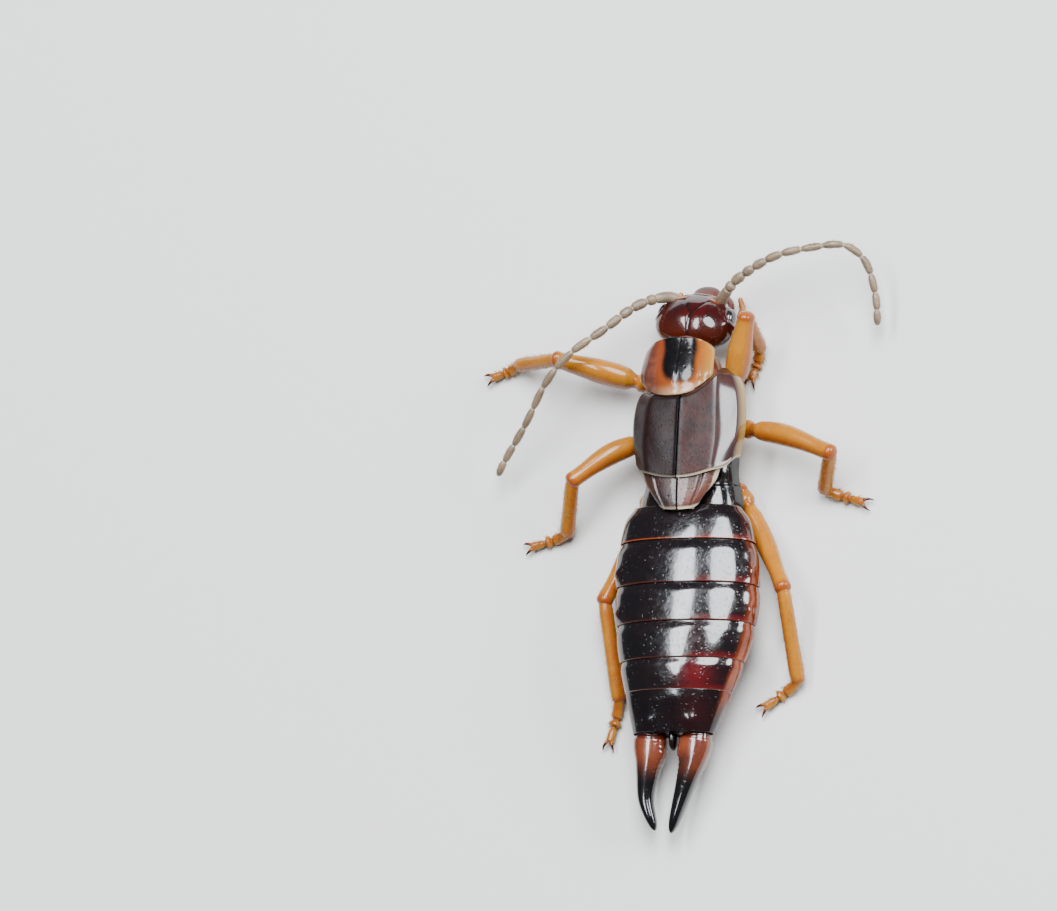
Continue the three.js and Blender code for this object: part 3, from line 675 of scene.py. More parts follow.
# Finishes, as tint() and chitin() read them.
FINISHES = {
    "Head shell": {
        "layers": [
            (("maroon", "black", 1500.0, 0.75), 1),
            ("chestnut", 0.12, "rear"),
            ("chestnut", 0.6, "rim"),
            ("black", 1, "seam"),
        ],
        "gloss": (0.14, 0.26), "coat": 0.7, "pits": (7000.0, 0.5, 1.0), "relief": 0.003, "sheen": 0.2,
    },
    "Compound eye": {
        "layers": [(("black", "maroon", 2500.0, 0.3), 1)],
        "gloss": (0.1, 0.16), "coat": 1.0, "pits": (32000.0, 0.7, 0.0), "relief": 0.0015,
    },
    "Jaw shell": {
        "layers": [(("maroon", "chestnut", 3000.0, 0.5), 1), ("maroon", 1, "tip")],
        "gloss": (0.2, 0.35), "coat": 0.3, "sheen": 0.3,
    },
    "Palp shell": {
        "layers": [(("amber", "chestnut", 3000.0, 0.6), 1), ("cream", 0.45, "joint")],
        "gloss": (0.3, 0.45), "coat": 0.2, "glow": 0.2,
    },
    "Pronotum shell": {
        "layers": [
            (("amber", "straw", 1700.0, 0.9), 1),
            # The left side is painted darker and browner: painted shade on the side away from the lights.
            (("russet", "umber", 1700.0, 0.8), 1, "left"),
            ("chestnut", 0.75, "near"),
            # The pale rim's rear part lies only on the lit right side: a real pale rim, partly painted light.
            ("cream", 0.35, "rim"),
            ("black", 1, "disc"),
        ],
        "gloss": (0.14, 0.3), "coat": 0.4, "pits": (6000.0, 0.4, 1.4), "sheen": 0.2, "wet": 0.1,
    },
    "Thorax skin": {
        "layers": [(("chestnut", "maroon", 2000.0, 0.7), 1), ("amber", 1, "under"), ("straw", 1, "fold")],
        "gloss": (0.3, 0.5), "coat": 0.2, "pits": (8000.0, 0.5, 1.5), "relief": 0.006, "glow": 0.1,
    },
    "Wing case shell": {
        "layers": [
            (("umber", "maroon", 1600.0, 0.5), 1),
            (("below", "russet", 2600.0, 0.18), 1),
            # The left case is painted darker: painted shade on the side away from the lights.
            ("black", 0.7, "left"),
            ("straw", 1, "flank"),
            ("black", 1, "seam"),
            ("cream", 0.6, "rear"),
        ],
        "gloss": (0.3, 0.46), "coat": wing_case_coat, "pits": (15000.0, 0.4, 1.2), "sheen": 0.12,
        "wet": 0.12,
    },
    "Wing tip shell": {
        "layers": [
            # The left tip is painted darker: painted shade on the side away from the lights.
            (("russet", "umber", 1800.0, 0.8), 1), ("umber", 0.7, "left"), ("cream", 1, "edge"),
        ],
        "gloss": (0.25, 0.45), "coat": 0.3, "pits": (9000.0, 0.4, 1.6), "relief": 0.008, "glow": 0.1,
        "sheen": 0.3,
    },
    "Abdomen shell": {
        "layers": [
            (("black", "maroon", 1400.0, 0.08), 1),
            ("garnet", 1, "blotch"),
            # The rings' reddish rear edges are kept to their right, lit side: a real reddish edge, partly
            # painted light.
            ("garnet", 0.7, "rear", "right"),
            (("chestnut", "maroon", 1800.0, 0.8), 1, "flank"),
            (("chestnut", "maroon", 1800.0, 0.8), 0.9, "belly"),
            ("chestnut", 1, "lip"),
        ],
        "gloss": (0.1, 0.26), "coat": ring_coat, "pits": (8000.0, 0.3, 2.2), "relief": 0.006,
        "sheen": 0.3, "wet": 0.08,
    },
    "Forceps shell": {
        "layers": [
            (("chestnut", "maroon", 2000.0, 0.9), 1),
            ("russet", 0.4),
            ("black", 1, "dark"),
            ("maroon", 1, "root"),
        ],
        "gloss": (0.12, 0.24), "coat": 0.85, "pits": (7000.0, 0.35, 1.0), "relief": 0.003, "sheen": 0.3,
    },
    "Feeler shell": {
        "layers": [(("dun", "umber", 2600.0, 0.5), 1), ("cream", 0.5, "joint"), ("straw", 1, "bristle")],
        "gloss": (0.4, 0.6), "coat": 0.1, "pits": (16000.0, 0.5, 0.6), "relief": 0.006, "glow": 0.2,
    },
    "Leg shell": {
        "layers": [
            (("amber", "chestnut", 1500.0, 0.35), 1),
            # The limbs' narrow sides are painted darker: painted shade at the sides of the round limbs.
            ("chestnut", 0.6, "edge"),
            ("chestnut", 0.75, "joint"),
            ("straw", 1, "bristle"),
            ("maroon", 1, "claw"),
        ],
        "gloss": (0.18, 0.36), "coat": 0.5, "pits": (9000.0, 0.35, 1.0), "glow": 0.03, "sheen": 0.1,
        "wet": 0.12,
    },
}


def painted(name, recipe):
    """A material whose shader takes the inputs that recipe(tree) gives."""
    material = bpy.data.materials.new(name)
    material.use_nodes = True
    tree = material.node_tree
    tree.nodes.clear()
    shader = add(tree, "ShaderNodeBsdfPrincipled", recipe(tree))
    add(tree, "ShaderNodeOutputMaterial", {"Surface": shader.outputs["BSDF"]})
    return material


def chitin(name, layers, gloss, coat, pits=(9000.0, 0.4, 1.0), relief=0.004, glow=0.0, sheen=0.5, wet=0.06):
    """Shell: layered colour, uneven gloss and fine pits under a wet coat, with some light let through.

    gloss is the roughness from low to high, pits their scale, size and swell, and relief their depth in
    millimetres. coat is how wet it is, or a function for a piece that is only wet in places, wet that
    coat's roughness, sheen the bare shell's reflection, and glow the share of light let through.
    """

    def recipe(tree):
        height = placed(tree, "Chitin pits", Scale=pits[0], Size=pits[1], Swell=pits[2])
        return {
            "Base Color": tint(tree, layers),
            "Roughness": placed(tree, "Chitin gloss", Low=gloss[0], High=gloss[1]),
            "Normal": raised(tree, height, relief),
            "Coat Weight": coat(tree) if callable(coat) else coat,
            "Coat Roughness": wet,
            "IOR": CHITIN_IOR,
            "Specular IOR Level": sheen,
            "Subsurface Weight": glow,
            "Subsurface Radius": LIGHT_REACH,
            "Subsurface Scale": LIGHT_DEPTH,
        }

    return painted(name, recipe)


def shell(finish):
    """A finish's material, made the first time it is asked for."""
    return bpy.data.materials.get(finish) or chitin(finish, **FINISHES[finish])


# Head.
def turned(angle, first, second):
    """A turn by an angle in degrees that carries one axis towards another."""
    turn = np.eye(3)
    c, s = math.cos(math.radians(angle)), math.sin(math.radians(angle))
    turn[[first, second], [first, second]] = c
    turn[first, second], turn[second, first] = -s, s
    return turn


# The head's own axes in the animal's: pitched nose down about x, then yawed about z.
HEAD_TURN = turned(-HEAD["yaw"], 0, 1) @ turned(-HEAD["pitch"], 1, 2)


def from_head(surface):
    """A surface given in the head's own frame, set in the animal's."""
    points, faces, values = surface
    return points @ HEAD_TURN.T + HEAD["at"], faces, values


def to_line(x, y, start, end):
    """Distance of each (x, y) from the line between two points."""
    span = np.subtract(end, start)
    t = np.clip(((x - start[0]) * span[0] + (y - start[1]) * span[1]) / (span @ span), 0, 1)
    return np.hypot(x - start[0] - t * span[0], y - start[1] - t * span[1])


def head_surface():
    """The head: a squared ellipse by its length, with rounded ends.

    Added to its upper face are a groove along the middle that forks to the feelers, a ring round each
    feeler's socket and each eye, a low swelling behind each eye, and a groove across behind the lip.
    Each is a bell of the distance from its line, its circle or its point.
    """
    r = eased(120)
    y = (HEAD["length"] * (r + 1) / 2)[:, None]
    ends = closing(r, 7, root=0.3)[:, None]
    c, s = oval(160, HEAD["power"])
    x = HEAD["half_width"](y) * c * ends
    z = np.where(s > 0, HEAD["above"](y), HEAD["below"](y)) * s * ends
    upper = smooth(0.05, 0.3, s)[None, :] * np.ones_like(x)
    fork, forward = (0.0, 0.62), (0.36, 1.12)
    seam = np.minimum(to_line(x, y, (0, 0), fork), to_line(np.abs(x), y, fork, forward))
    socket = np.hypot(np.abs(x) - SOCKET[0], y - SOCKET[1])
    eye = np.sqrt(
        ((np.abs(x) - EYE["at"][0]) / EYE["half"][0]) ** 2
        + ((y - EYE["at"][1]) / EYE["half"][1]) ** 2
        + ((z - EYE["at"][2]) / EYE["half"][2]) ** 2
    )
    lift = 0.05 * bump(socket - 0.17, 0.06) - 0.05 * bump(socket, 0.13)
    lift += 0.035 * bump(eye - 1.25, 0.16)
    lift -= upper * (0.022 * bump(seam, 0.03) + 0.03 * bump(y - 1.46, 0.035))
    lift += upper * 0.035 * bump(np.hypot(np.abs(x) - 0.42, y - 0.5), 0.36)
    away = unit(grid_of(x, 0.0, z) + 1e-9)
    grid = grid_of(x, y, z) + away * lift[..., None]
    rim = bump(socket - 0.17, 0.07)
    return tube(grid, seam=bump(seam, 0.035) * upper, rear=smooth(0.75, 0.0, y), rim=rim)


class EARWIG_OT_head(bpy.types.Operator):
    """Adds the head: its sutures, the feelers' sockets and the rims of the eyes"""

    bl_idname = "earwig.head"
    bl_label = "Head"

    def execute(self, context):
        piece("head_shell", from_head(head_surface()), "Head shell", "head_shell", "head")
        return {"FINISHED"}


def eye_surface(side):
    """An eye: an ellipsoid, a sphere's rows and columns by its three half sizes."""
    high = np.linspace(0.02, math.pi - 0.02, 40)[:, None]
    round_ = np.linspace(0, 2 * math.pi, 60, endpoint=False)[None, :]
    ball = grid_of(np.sin(high) * np.cos(round_), np.cos(high), np.sin(high) * np.sin(round_))
    return tube(ball * EYE["half"] + EYE["at"] * (side, 1, 1))


class EARWIG_OT_eyes(bpy.types.Operator):
    """Adds the two compound eyes"""

    bl_idname = "earwig.eyes"
    bl_label = "Eyes"

    def execute(self, context):
        for name, side in SIDES.items():
            surface = from_head(eye_surface(side))
            piece(f"eye_{name}_lens", surface, "Compound eye", "eye_shell", f"eye_{name}")
        return {"FINISHED"}


# Mouthparts, in the head's own frame.
MANDIBLE = [(0.42, 1.2, -0.2), (0.52, 1.56, -0.32), (0.44, 1.84, -0.34), (0.14, 2.03, -0.31)]
PALP = [(0.6, 0.9, -0.25), (0.9, 1.26, -0.42), (1.0, 1.6, -0.4), (0.86, 1.94, -0.28)]
LIP_PALP = [(0.2, 1.2, -0.4), (0.34, 1.5, -0.52), (0.3, 1.76, -0.5)]


def labrum_surface():
    """The upper lip: a squared ellipse, narrower by 0.3 t squared and thinner by 0.4 t, rounded in front."""
    t = eased(40, start=0)[:, None]
    c, s = oval(72, 2.6)
    end = closing(t, 5)
    x = 0.4 * (1 - 0.3 * t**2) * c * end
    y = HEAD["length"] - 0.06 + 0.46 * t
    z = 0.15 * (1 - 0.4 * t) * s * end - 0.06 * t
    return tube(grid_of(x, y, z), tip=t)


def jaw_surface(side):
    """A jaw: an ellipse, higher than wide, carried along a hook and thinner towards its tip."""
    rows = 50
    t = np.linspace(0, 1, rows)
    half = through((0, 0.2), (0.5, 0.18), (0.85, 0.11), (1, 0.05))(t)
    path = route(MANDIBLE, rows, side)
    return carried(path, half, Z, deep=1.3, domes=(0.7, 0.5), tip=smooth(0.55, 1, t))


def palp_surface(points, side, rows, joints, *half):
    """A palp: circles carried along its curve, and drawn in to a waist at each joint by a bell."""
    t = np.linspace(0, 1, rows)
    pinch = np.clip(sum(bump(t - joint, 0.02) for joint in joints), 0, 1)
    return carried(route(points, rows, side), through(*half)(t) * (1 - 0.4 * pinch), Z, joint=pinch)


class EARWIG_OT_mouth(bpy.types.Operator):
    """Adds the upper lip, the jaws and the palps"""

    bl_idname = "earwig.mouth"
    bl_label = "Mouthparts"

    def execute(self, context):
        piece("upper_lip", from_head(labrum_surface()), "Jaw shell", "mouthparts", "labrum")
        for name, side in SIDES.items():
            surface = from_head(jaw_surface(side))
            piece(f"jaw_{name}", surface, "Jaw shell", "mouthparts", f"mandible_{name}")
            palp = palp_surface(PALP, side, 90, (0.2, 0.36, 0.55, 0.76), (0, 0.1), (0.5, 0.12), (1, 0.07))
            lip_palp = palp_surface(LIP_PALP, side, 50, (0.35, 0.68), (0, 0.09), (1, 0.06))
            surface = from_head(merged(palp, lip_palp))
            piece(f"palps_{name}", surface, "Palp shell", "mouthparts", f"palp_{name}")
        return {"FINISHED"}


# Thorax.
def rear_bow(x):
    """How far the pronotum's rear edge stands forward, by the distance from its middle to the power 2.6."""
    share = np.minimum(np.abs(x / PRONOTUM["half_width"]), 1.25)
    return PRONOTUM["bow"] * share**2.6


def pronotum_surface(thick):
    """The pronotum: an arched shield whose rim turns down by the sixth power of the distance across.

    Its disc is a squared oval that stands up by a smooth step, bulges by the square of the distance from
    its middle, and is split by a fine groove. The rim has a thin raised lip.
    """
    s, v = eased(140)[None, :], shares(110)[:, None]
    wide = PRONOTUM["half_width"] * (1 - 0.07 * v**2 - 0.12 * (2 * v - 1) ** 6)
    rear = rear_bow(s * PRONOTUM["half_width"])
    front = PRONOTUM["length"] - 0.12 * s**4
    x = PRONOTUM["x"] + s * wide
    y = rear + (front - rear) * v
    across = (x - DISC["x"]) / DISC["half_width"]
    wave = 0.05 / DISC["half_width"] * np.sin(4 * v)
    along = np.maximum((DISC["y"] - y) / DISC["half_length"], 0)
    from_disc = (np.abs(across - wave) ** 3 + along**3) ** (1 / 3)
    black = smooth(1.12, 0.78, from_disc + 0.05 * np.sin(11 * v + 3 * s))
    groove = bump(x - DISC["x"], 0.03) * smooth(0.25, 0.45, v)
    edge = np.maximum(np.abs(s), np.abs(2 * v - 1))
    z = PRONOTUM["top"] - PRONOTUM["slope"] * v - 0.1 * s**2 - 0.24 * s**6 - 0.05 * (1 - v) ** 8
    z = z + DISC["rise"] * smooth(1.4, 0.6, from_disc) - 0.01 * groove
    z = z + 0.014 * bump(edge - 0.975, 0.02) - 0.03 * bump(v - 0.16, 0.08)
    z = z - 0.14 * smooth(0.55, 1.7, y) - 0.07 * np.minimum(across**2, 1.4)
    # The pale rim runs along both sides, and along the rear only on the right, the lit side: partly painted
    # light. left marks the left side, which the finish paints darker: painted shade.
    rim = 0.5 * smooth(0.9, 0.99, np.abs(s)) + smooth(0.2, 0.03, v) * smooth(-0.9, 0.4, s)
    return plate(
        grid_of(x, y, z), thick, disc=black, rim=np.clip(rim, 0, 1), left=smooth(0.2, -0.5, s),
        near=smooth(1.7, 1.05, from_disc),
    )


class EARWIG_OT_pronotum(bpy.types.Operator):
    """Adds the pronotum with its black disc and clear amber edges"""

    bl_idname = "earwig.pronotum"
    bl_label = "Pronotum"

    def execute(self, context):
        surface = pronotum_surface(context.scene.earwig_sizes.shell / MM)
        piece("pronotum_shield", surface, "Pronotum shell", "pronotum_shell", "pronotum")
        return {"FINISHED"}


def thorax_surface():
    """The thorax's skin from the neck to the waist: a squared ellipse by its length, with soft folds.

    The folds are three bells along it, one behind each pair of hips, and a crease along each side.
    """
    y = np.linspace(2.1, -2.9, 180)[:, None]
    c, s = oval(120, 2.3)
    fold = 0.05 * (bump(y - 0.02, 0.08) + bump(y + 1.35, 0.06) + bump(y - 1.5, 0.07))
    fold = fold + 0.04 * bump(s - 0.18, 0.12)
    x = THORAX["middle"](y) + (THORAX["half_width"](y) - fold) * c
    above = THORAX["top"](y) - THORAX["side"] - fold
    below = THORAX["side"] - THORAX["bottom"](y) - fold
    z = THORAX["side"] + np.where(s > 0, above, below) * s
    under = smooth(-0.2, -0.6, s)[None, :]
    return tube(grid_of(x, y, z), fold=np.clip(fold / 0.05, 0, 1), under=under)


class EARWIG_OT_thorax(bpy.types.Operator):
    """Adds the skin of the thorax and neck, under the plates"""

    bl_idname = "earwig.thorax"
    bl_label = "Thorax"

    def execute(self, context):
        nodes = ("prothorax", "pterothorax")
        piece("thorax_skin", thorax_surface(), "Thorax skin", "thorax_flank", *nodes)
        return {"FINISHED"}


# Wing cases and wings.
def wing_case_end(x):
    """The wing cases' rear edge: it runs forward by the square of the distance from the midline."""
    return -WING_CASE["length"] + WING_CASE["sweep"] * x**2


def wing_case_surface(side, thick):
    """A wing case, across by u and along by v.

    Its height falls by the arch times u squared, then along a straight flank that a soft corner joins to
    it, the log of 1 + e^u, then by the square of the distance past u = 0.9. A low seam lies along the
    midline, and a lip at the rear, whose outer corner is rounded off.
    """
    u, v = shares(130)[None, :], shares(150)[:, None]
    inner, corner, softness = 0.025, 0.62, 0.035
    reach = WING_CASE["half_width"](v) + side * WING_CASE["lean"]
    x = side * (inner + u * (reach - inner))
    front = rear_bow(x - PRONOTUM["x"]) + 0.1
    rear = wing_case_end(x) + 0.3 * smooth(0.72, 1.04, u) ** 2
    y = front + (rear - front) * v
    ramp = softness * np.log1p(np.exp((u - corner) / softness))
    turn = WING_CASE["arch"] * u**2 + 1.2 * ramp + 25 * np.maximum(u - 0.9, 0) ** 2
    z = WING_CASE["top"] - 0.07 * (1 - v) ** 4 - 0.05 * v**3 - turn
    z = z + 0.02 * bump(u, 0.035)
    z = z + 0.012 * bump(v - 0.975, 0.015) - 0.16 * smooth(0.1, 0.0, v)
    z = z + 0.012 * np.sin(9 * u + 3 * v) * np.sin(5 * v + 2)
    # left marks the left case, which the finish paints darker and whose pale rear line it weakens: painted
    # shade on the side away from the lights.
    left = 1.0 if side < 0 else 0.0
    return plate(
        grid_of(x, y, z), thick, round_off=14,
        flank=smooth(0.92, 0.99, u), rear=smooth(0.972, 0.99, v) * (1 - 0.65 * left),
        seam=smooth(0.05, 0.01, u), turn=smooth(0.55, 0.72, u), left=left,
    )


class EARWIG_OT_wing_cases(bpy.types.Operator):
    """Adds the two short wing cases"""

    bl_idname = "earwig.wing_cases"
    bl_label = "Wing cases"

    def execute(self, context):
        thick = context.scene.earwig_sizes.shell / MM
        for name, side in SIDES.items():
            surface = wing_case_surface(side, thick)
            piece(f"wing_case_{name}", surface, "Wing case shell", "wing_case", f"elytron_{name}")
        return {"FINISHED"}


def wing_tip_surface(side, thick):
    """A folded wing's tip: a lobe that falls by u cubed across, its outer rear corner rounded off.

    One crease runs along it where the wing folds, and its outer edge is a raised vein; both are bells.
    """
    u, v = shares(90)[None, :], shares(80)[:, None]
    inner = 0.03
    x = side * (inner + u * (WING_TIP["half_width"](v) - inner))
    front = wing_case_end(x) + 0.12
    rear = WING_TIP["end"] + WING_TIP["sweep"] * u**3 + 0.22 * smooth(0.7, 1.05, u) ** 2
    y = front + (rear - front) * v
    z = WING_TIP["top"] - 0.07 - WING_TIP["rise"] * v - WING_TIP["fall"] * u**3
    z = z - 0.04 * bump(u - 0.6 + 0.1 * v, 0.04) + 0.02 * bump(u - 0.93, 0.03) - 0.05 * v**6
    # left marks the left tip, which the finish paints darker, and its cream edge is weakened there: painted
    # shade on the side away from the lights.
    left = 1.0 if side < 0 else 0.0
    edge = np.maximum(smooth(0.86, 0.95, u), smooth(0.9, 0.97, v)) * (1 - 0.6 * left)
    return plate(grid_of(x, y, z), thick, edge=edge, left=left)


class EARWIG_OT_wing_tips(bpy.types.Operator):
    """Adds the folded wings' tips, which show behind the wing cases"""

    bl_idname = "earwig.wing_tips"
    bl_label = "Wing tips"

    def execute(self, context):
        folded = 1.4  # The tip is a folded wing, so it is thicker than a wing case.
        thick = context.scene.earwig_sizes.shell / MM * folded
        for name, side in SIDES.items():
            surface = wing_tip_surface(side, thick)
            piece(f"wing_tip_{name}_lobe", surface, "Wing tip shell", "wing_tip", f"wing_tip_{name}")
        return {"FINISHED"}


# Abdomen.
def ring_profile(step):
    """Rows along the abdomen: each ring rises from under the last one, and its rear edge rolls under.

    Its front lies a step lower, by a smooth step, and its middle bulges by a sine. Returns, for each
    row, its place, its depth under the outline, its share of its ring, and the ring's number.
    """
    share = np.r_[np.linspace(0, 0.9, 22), np.linspace(0.925, 1, 6)]
    depth = step * (1 - smooth(0, 0.3, share)) - 0.012 * np.sin(math.pi * share)
    behind = np.array([0.012, 0.014, 0.004, -0.025])
    under = np.array([0.012, 0.03, 0.045, 0.05])
    rows, front = [], ABDOMEN["start"]
    for number, rear in enumerate(ABDOMEN["margins"]):
        relief = RING_RELIEF.get(number, 1.0)
        for place, down, part in (
            (front + (rear - front) * share, relief * depth, share),
            (rear - behind, relief * under, np.ones(len(behind))),
        ):
            rows.append(np.stack([place, down, part, np.full_like(part, number)], -1))
        front = rear + 0.02
    return np.vstack(rows)


def abdomen_surface(step):
    """The abdomen: a squared ellipse by its length, drawn in by the rings' profile.

    Below a line low on each side the rings lie deeper, where the belly plates slip under the back
    plates. Two rings carry a small swelling on each side, and the last ring two low knobs with a dip
    between them; all are bells.
    """
    y, depth, share, number = (column[:, None] for column in ring_profile(step).T)
    c, s = oval(220, ABDOMEN["power"])
    belly = smooth(-0.12, -0.22, s)[None, :]
    depth = depth + 0.05 * belly
    side, middle = ABDOMEN["side"](y), ABDOMEN["middle"](y)
    x = middle + (ABDOMEN["half_width"](y) - depth) * c
    high = ABDOMEN["top"](y) - side - depth
    low = side - ABDOMEN["bottom"](y) - depth
    z = side + np.where(s > 0, high, low) * s
    swelling = np.isin(number, (1, 2)) * bump(share - 0.72, 0.14) * bump(s - 0.42, 0.13)
    tail = (number == LAST_RING) * smooth(-8.2, -8.9, y)
    knob = tail * bump(np.hypot(np.abs(x - middle) - 0.62, y + 8.92), 0.2) * (s > 0)
    dip = tail * bump(x - middle, 0.22) * (s > 0.3)
    lift = 0.07 * swelling + 0.06 * knob - 0.06 * dip
    grid = grid_of(x, y, z) + unit(grid_of(c, 0.0 * y, s)) * lift[..., None]
    jointed = number < LAST_RING
    return tube(
        grid,
        rear=smooth(0.8, 0.97, share) * jointed,
        lip=smooth(0.965, 1.0, share) * np.where(number == 0, 0.9, 0.2) * jointed,
        flank=smooth(0.56, 0.34, s) * smooth(-9.0, -7.8, y) * (0.25 + 0.75 * smooth(-4.0, -5.4, y)),
        belly=belly,
        tail=number == LAST_RING,
        blotch=bump(number - 4, 0.7) * bump(x - 0.72, 0.44) * bump(share - 0.55, 0.5) * (s > 0.2),
        # right marks the rings' right, lit side, where the finish paints their reddish rear edges: partly
        # painted light.
        right=smooth(-0.1, 0.5, c),
    )


def first_plates_surface():
    """The first two back plates, which run forward under the wings.

    They are an arch that falls by s squared and, more steeply, by s to the sixth, with a low step
    across the middle.
    """
    s, v = eased(110)[None, :], np.linspace(0, 1, 60)[:, None]
    y = -1.6 - 1.45 * v + 0.12 * s**4
    x = 0.06 + s * (1.28 + 0.2 * smooth(0.2, 1, v))
    top = 1.58 + 0.05 * v + 0.04 * smooth(0.56, 0.54, v) * smooth(0.2, 0.54, v)
    z = top - 0.12 * s**2 - 0.5 * s**6
    return plate(grid_of(x, y, z), 0.07, tail=smooth(0.6, 0.85, np.abs(s)))


def pygidium_surface():
    """The end plate between the forceps: an ellipse that narrows by the cube of its length."""
    t = eased(30, start=0)[:, None]
    c, s = oval(40, 2.2)
    end = closing(t, 6) * (1 - 0.35 * t**3)
    return tube(grid_of(-0.1 + 0.11 * end * c, -9.1 - 0.5 * t, 1.06 + 0.27 * end * s), tail=1.0)


class EARWIG_OT_abdomen(bpy.types.Operator):
    """Adds the abdomen's overlapping rings and the small plate at their end"""

    bl_idname = "earwig.abdomen"
    bl_label = "Abdomen"

    def execute(self, context):
        rings = abdomen_surface(context.scene.earwig_sizes.ring_step / MM)
        surface = merged(rings, first_plates_surface())
        piece("abdomen_rings", surface, "Abdomen shell", "abdomen_shell", "abdomen")
        piece("end_plate", pygidium_surface(), "Abdomen shell", "abdomen_shell", "pygidium")
        return {"FINISHED"}


def forceps_surface(name, inward):
    """One arm of the forceps: a squared ellipse carried along its curve.

    Its inner side swells to a low knob near the root, a bell, and carries a row of low teeth, a sine
    along it that fades towards the middle.
    """
    rows = 360
    t = np.linspace(0, 1, rows)
    path = route(FORCEPS[name], rows)
    heading = unit(np.gradient(path, axis=0))
    heading[:8] = [0, -1, 0]  # The root leaves the last ring straight to the rear.
    across = unit(np.cross(heading, Z))
    up = np.cross(across, heading)
    c, s = oval(72, 2.6)
    size = closing(np.clip((t - 0.96) / 0.04, 0, 1), 2, least=1e-3) * (0.9 + 0.1 * smooth(0, 0.05, t))
    wide, high = (FORCEPS[half](t) * size for half in ("half_width", "half_height"))
    inner = smooth(0.55, 0.95, np.clip(across @ X * inward, -1, 1)[:, None] * c[None, :])
    teeth = 0.014 * (0.5 + 0.5 * np.sin(t * 120)) * smooth(0.06, 0.12, t) * smooth(0.6, 0.35, t)
    knob = 0.04 * bump(t - 0.2, 0.06)
    grid = path[:, None] + (wide[:, None] * c)[..., None] * across[:, None]
    grid = grid + (high[:, None] * s)[..., None] * up[:, None]
    grid = grid + inward * ((teeth + knob)[:, None] * inner)[..., None] * X
    return tube(grid, dark=smooth(0.1, 0.5, t)[:, None], root=smooth(0.06, 0.0, t)[:, None])


class EARWIG_OT_forceps(bpy.types.Operator):
    """Adds the two arms of the forceps"""

    bl_idname = "earwig.forceps"
    bl_label = "Forceps"

    def execute(self, context):
        for name, side in SIDES.items():
            surface = forceps_surface(name, -side)
            piece(f"forceps_{name}_arm", surface, "Forceps shell", "forceps_shell", f"forceps_{name}")
        return {"FINISHED"}


# Feelers.
def feeler_surface(name, side, sizes):
    """A feeler: beads along one curve, each an arch by the power 3.2 that falls to a thin neck.

    The first bead is long and stout, the second is short, and the thickness then falls towards the tip.
    """
    rows = 560
    socket = (SOCKET * (side, 1, 1)) @ HEAD_TURN.T + HEAD["at"]
    path = route([tuple(socket), *FEELER[name]], rows)
    t = np.linspace(0, 1, rows)
    joints = np.r_[0, np.cumsum(FEELER["beads"])] / FEELER["beads"].sum()
    bead = np.clip(np.searchsorted(joints, t, side="right") - 1, 0, len(FEELER["beads"]) - 1)
    within = (t - joints[bead]) / (joints[bead + 1] - joints[bead])
    arch = np.clip(1 - np.abs(2 * within - 1.1).clip(0, 1) ** 3.2, 0, 1)
    neck = np.where(bead == 0, 0.8, 0.55)
    root, tip = sizes.feeler_root / MM / 2, sizes.feeler_tip / MM / 2
    full = tip + (root - tip) * (1 - np.minimum(t * 1.8, 1)) ** 1.5
    half = full * (neck + (1 - neck) * arch)
    form = carried(path, half, Z, sides=22, domes=(0.1, 0.8), joint=1 - smooth(0.0, 0.45, arch))
    short = sizes.bristle / MM * SHORT_BRISTLE
    down = bristles_on(path, half, (0.14, 1.0), BRISTLES["feeler"], short, 0.9, SEED + side)
    return merged(form, down)


class EARWIG_OT_feelers(bpy.types.Operator):
    """Adds the two beaded feelers"""

    bl_idname = "earwig.feelers"
    bl_label = "Feelers"

    def execute(self, context):
        for name, side in SIDES.items():
            surface = feeler_surface(name, side, context.scene.earwig_sizes)
            nodes = [f"antenna_{name}_{length}" for length in ("base", "mid", "tip")]
            piece(f"feeler_{name}", surface, "Feeler shell", "feeler", *nodes)
        return {"FINISHED"}


# Legs.
def coxa_surface(hip, end):
    """The coxa: a short cone from the hip, with a raised ring at its end, a bell."""
    t = np.linspace(0, 1, 40)
    path = hip + (end - hip) * t[:, None]
    half = 0.33 - 0.09 * t + 0.015 * bump(t - 0.92, 0.06)
    return carried(path, half, Z, joint=smooth(0.94, 1, t))


def femur_surface(start, knee, plane, size, bristle, seed):
    """The femur: a small trochanter, a waist, then the thigh's long swelling and the knee's two cheeks.

    It is an ellipse carried along a bow, and its half size runs smoothly through the sizes below.
    """
    rows = 110
    t = np.linspace(0, 1, rows)
    path = route([start, (start + knee) / 2 + np.array(size["bow"]), knee], rows)
    half = through(
        (0, 0.2), (0.08, 0.255), (0.14, 0.185), (0.24, size["half"] * 0.9),
        (0.5, size["half"]), (0.82, size["half"] * 0.78), (0.94, 0.23), (1, 0.235),
    )(t)
    joint = bump(t - 0.14, 0.02) + smooth(0.955, 1.0, t)
    form = carried(path, half, plane, deep=size["deep"], joint=joint)
    deep, short = half * size["deep"], bristle * SHORT_BRISTLE
    hairs = bristles_on(path, deep, (0.25, 0.97), BRISTLES["femur"], short, 1.2, seed)
    return merged(form, hairs)


def tibia_surface(knee, ankle, plane, thick, bristle, bristles, seed):
    """The tibia: a straight limb that is thin at the knee and widest near the ankle, with bristles."""
    t = np.linspace(0, 1, 80)
    path = knee + (ankle - knee) * t[:, None]
    half = thick / 2 * through((0, 0.8), (0.12, 0.92), (0.6, 0.96), (0.9, 1.0), (1, 0.9))(t)
    joint = smooth(0.06, 0.0, t) + smooth(0.95, 1.0, t)
    form = carried(path, half, plane, domes=(0.9, 0.4), joint=joint)
    return merged(form, bristles_on(path, half, (0.1, 1.0), bristles, bristle, 1.2, seed))


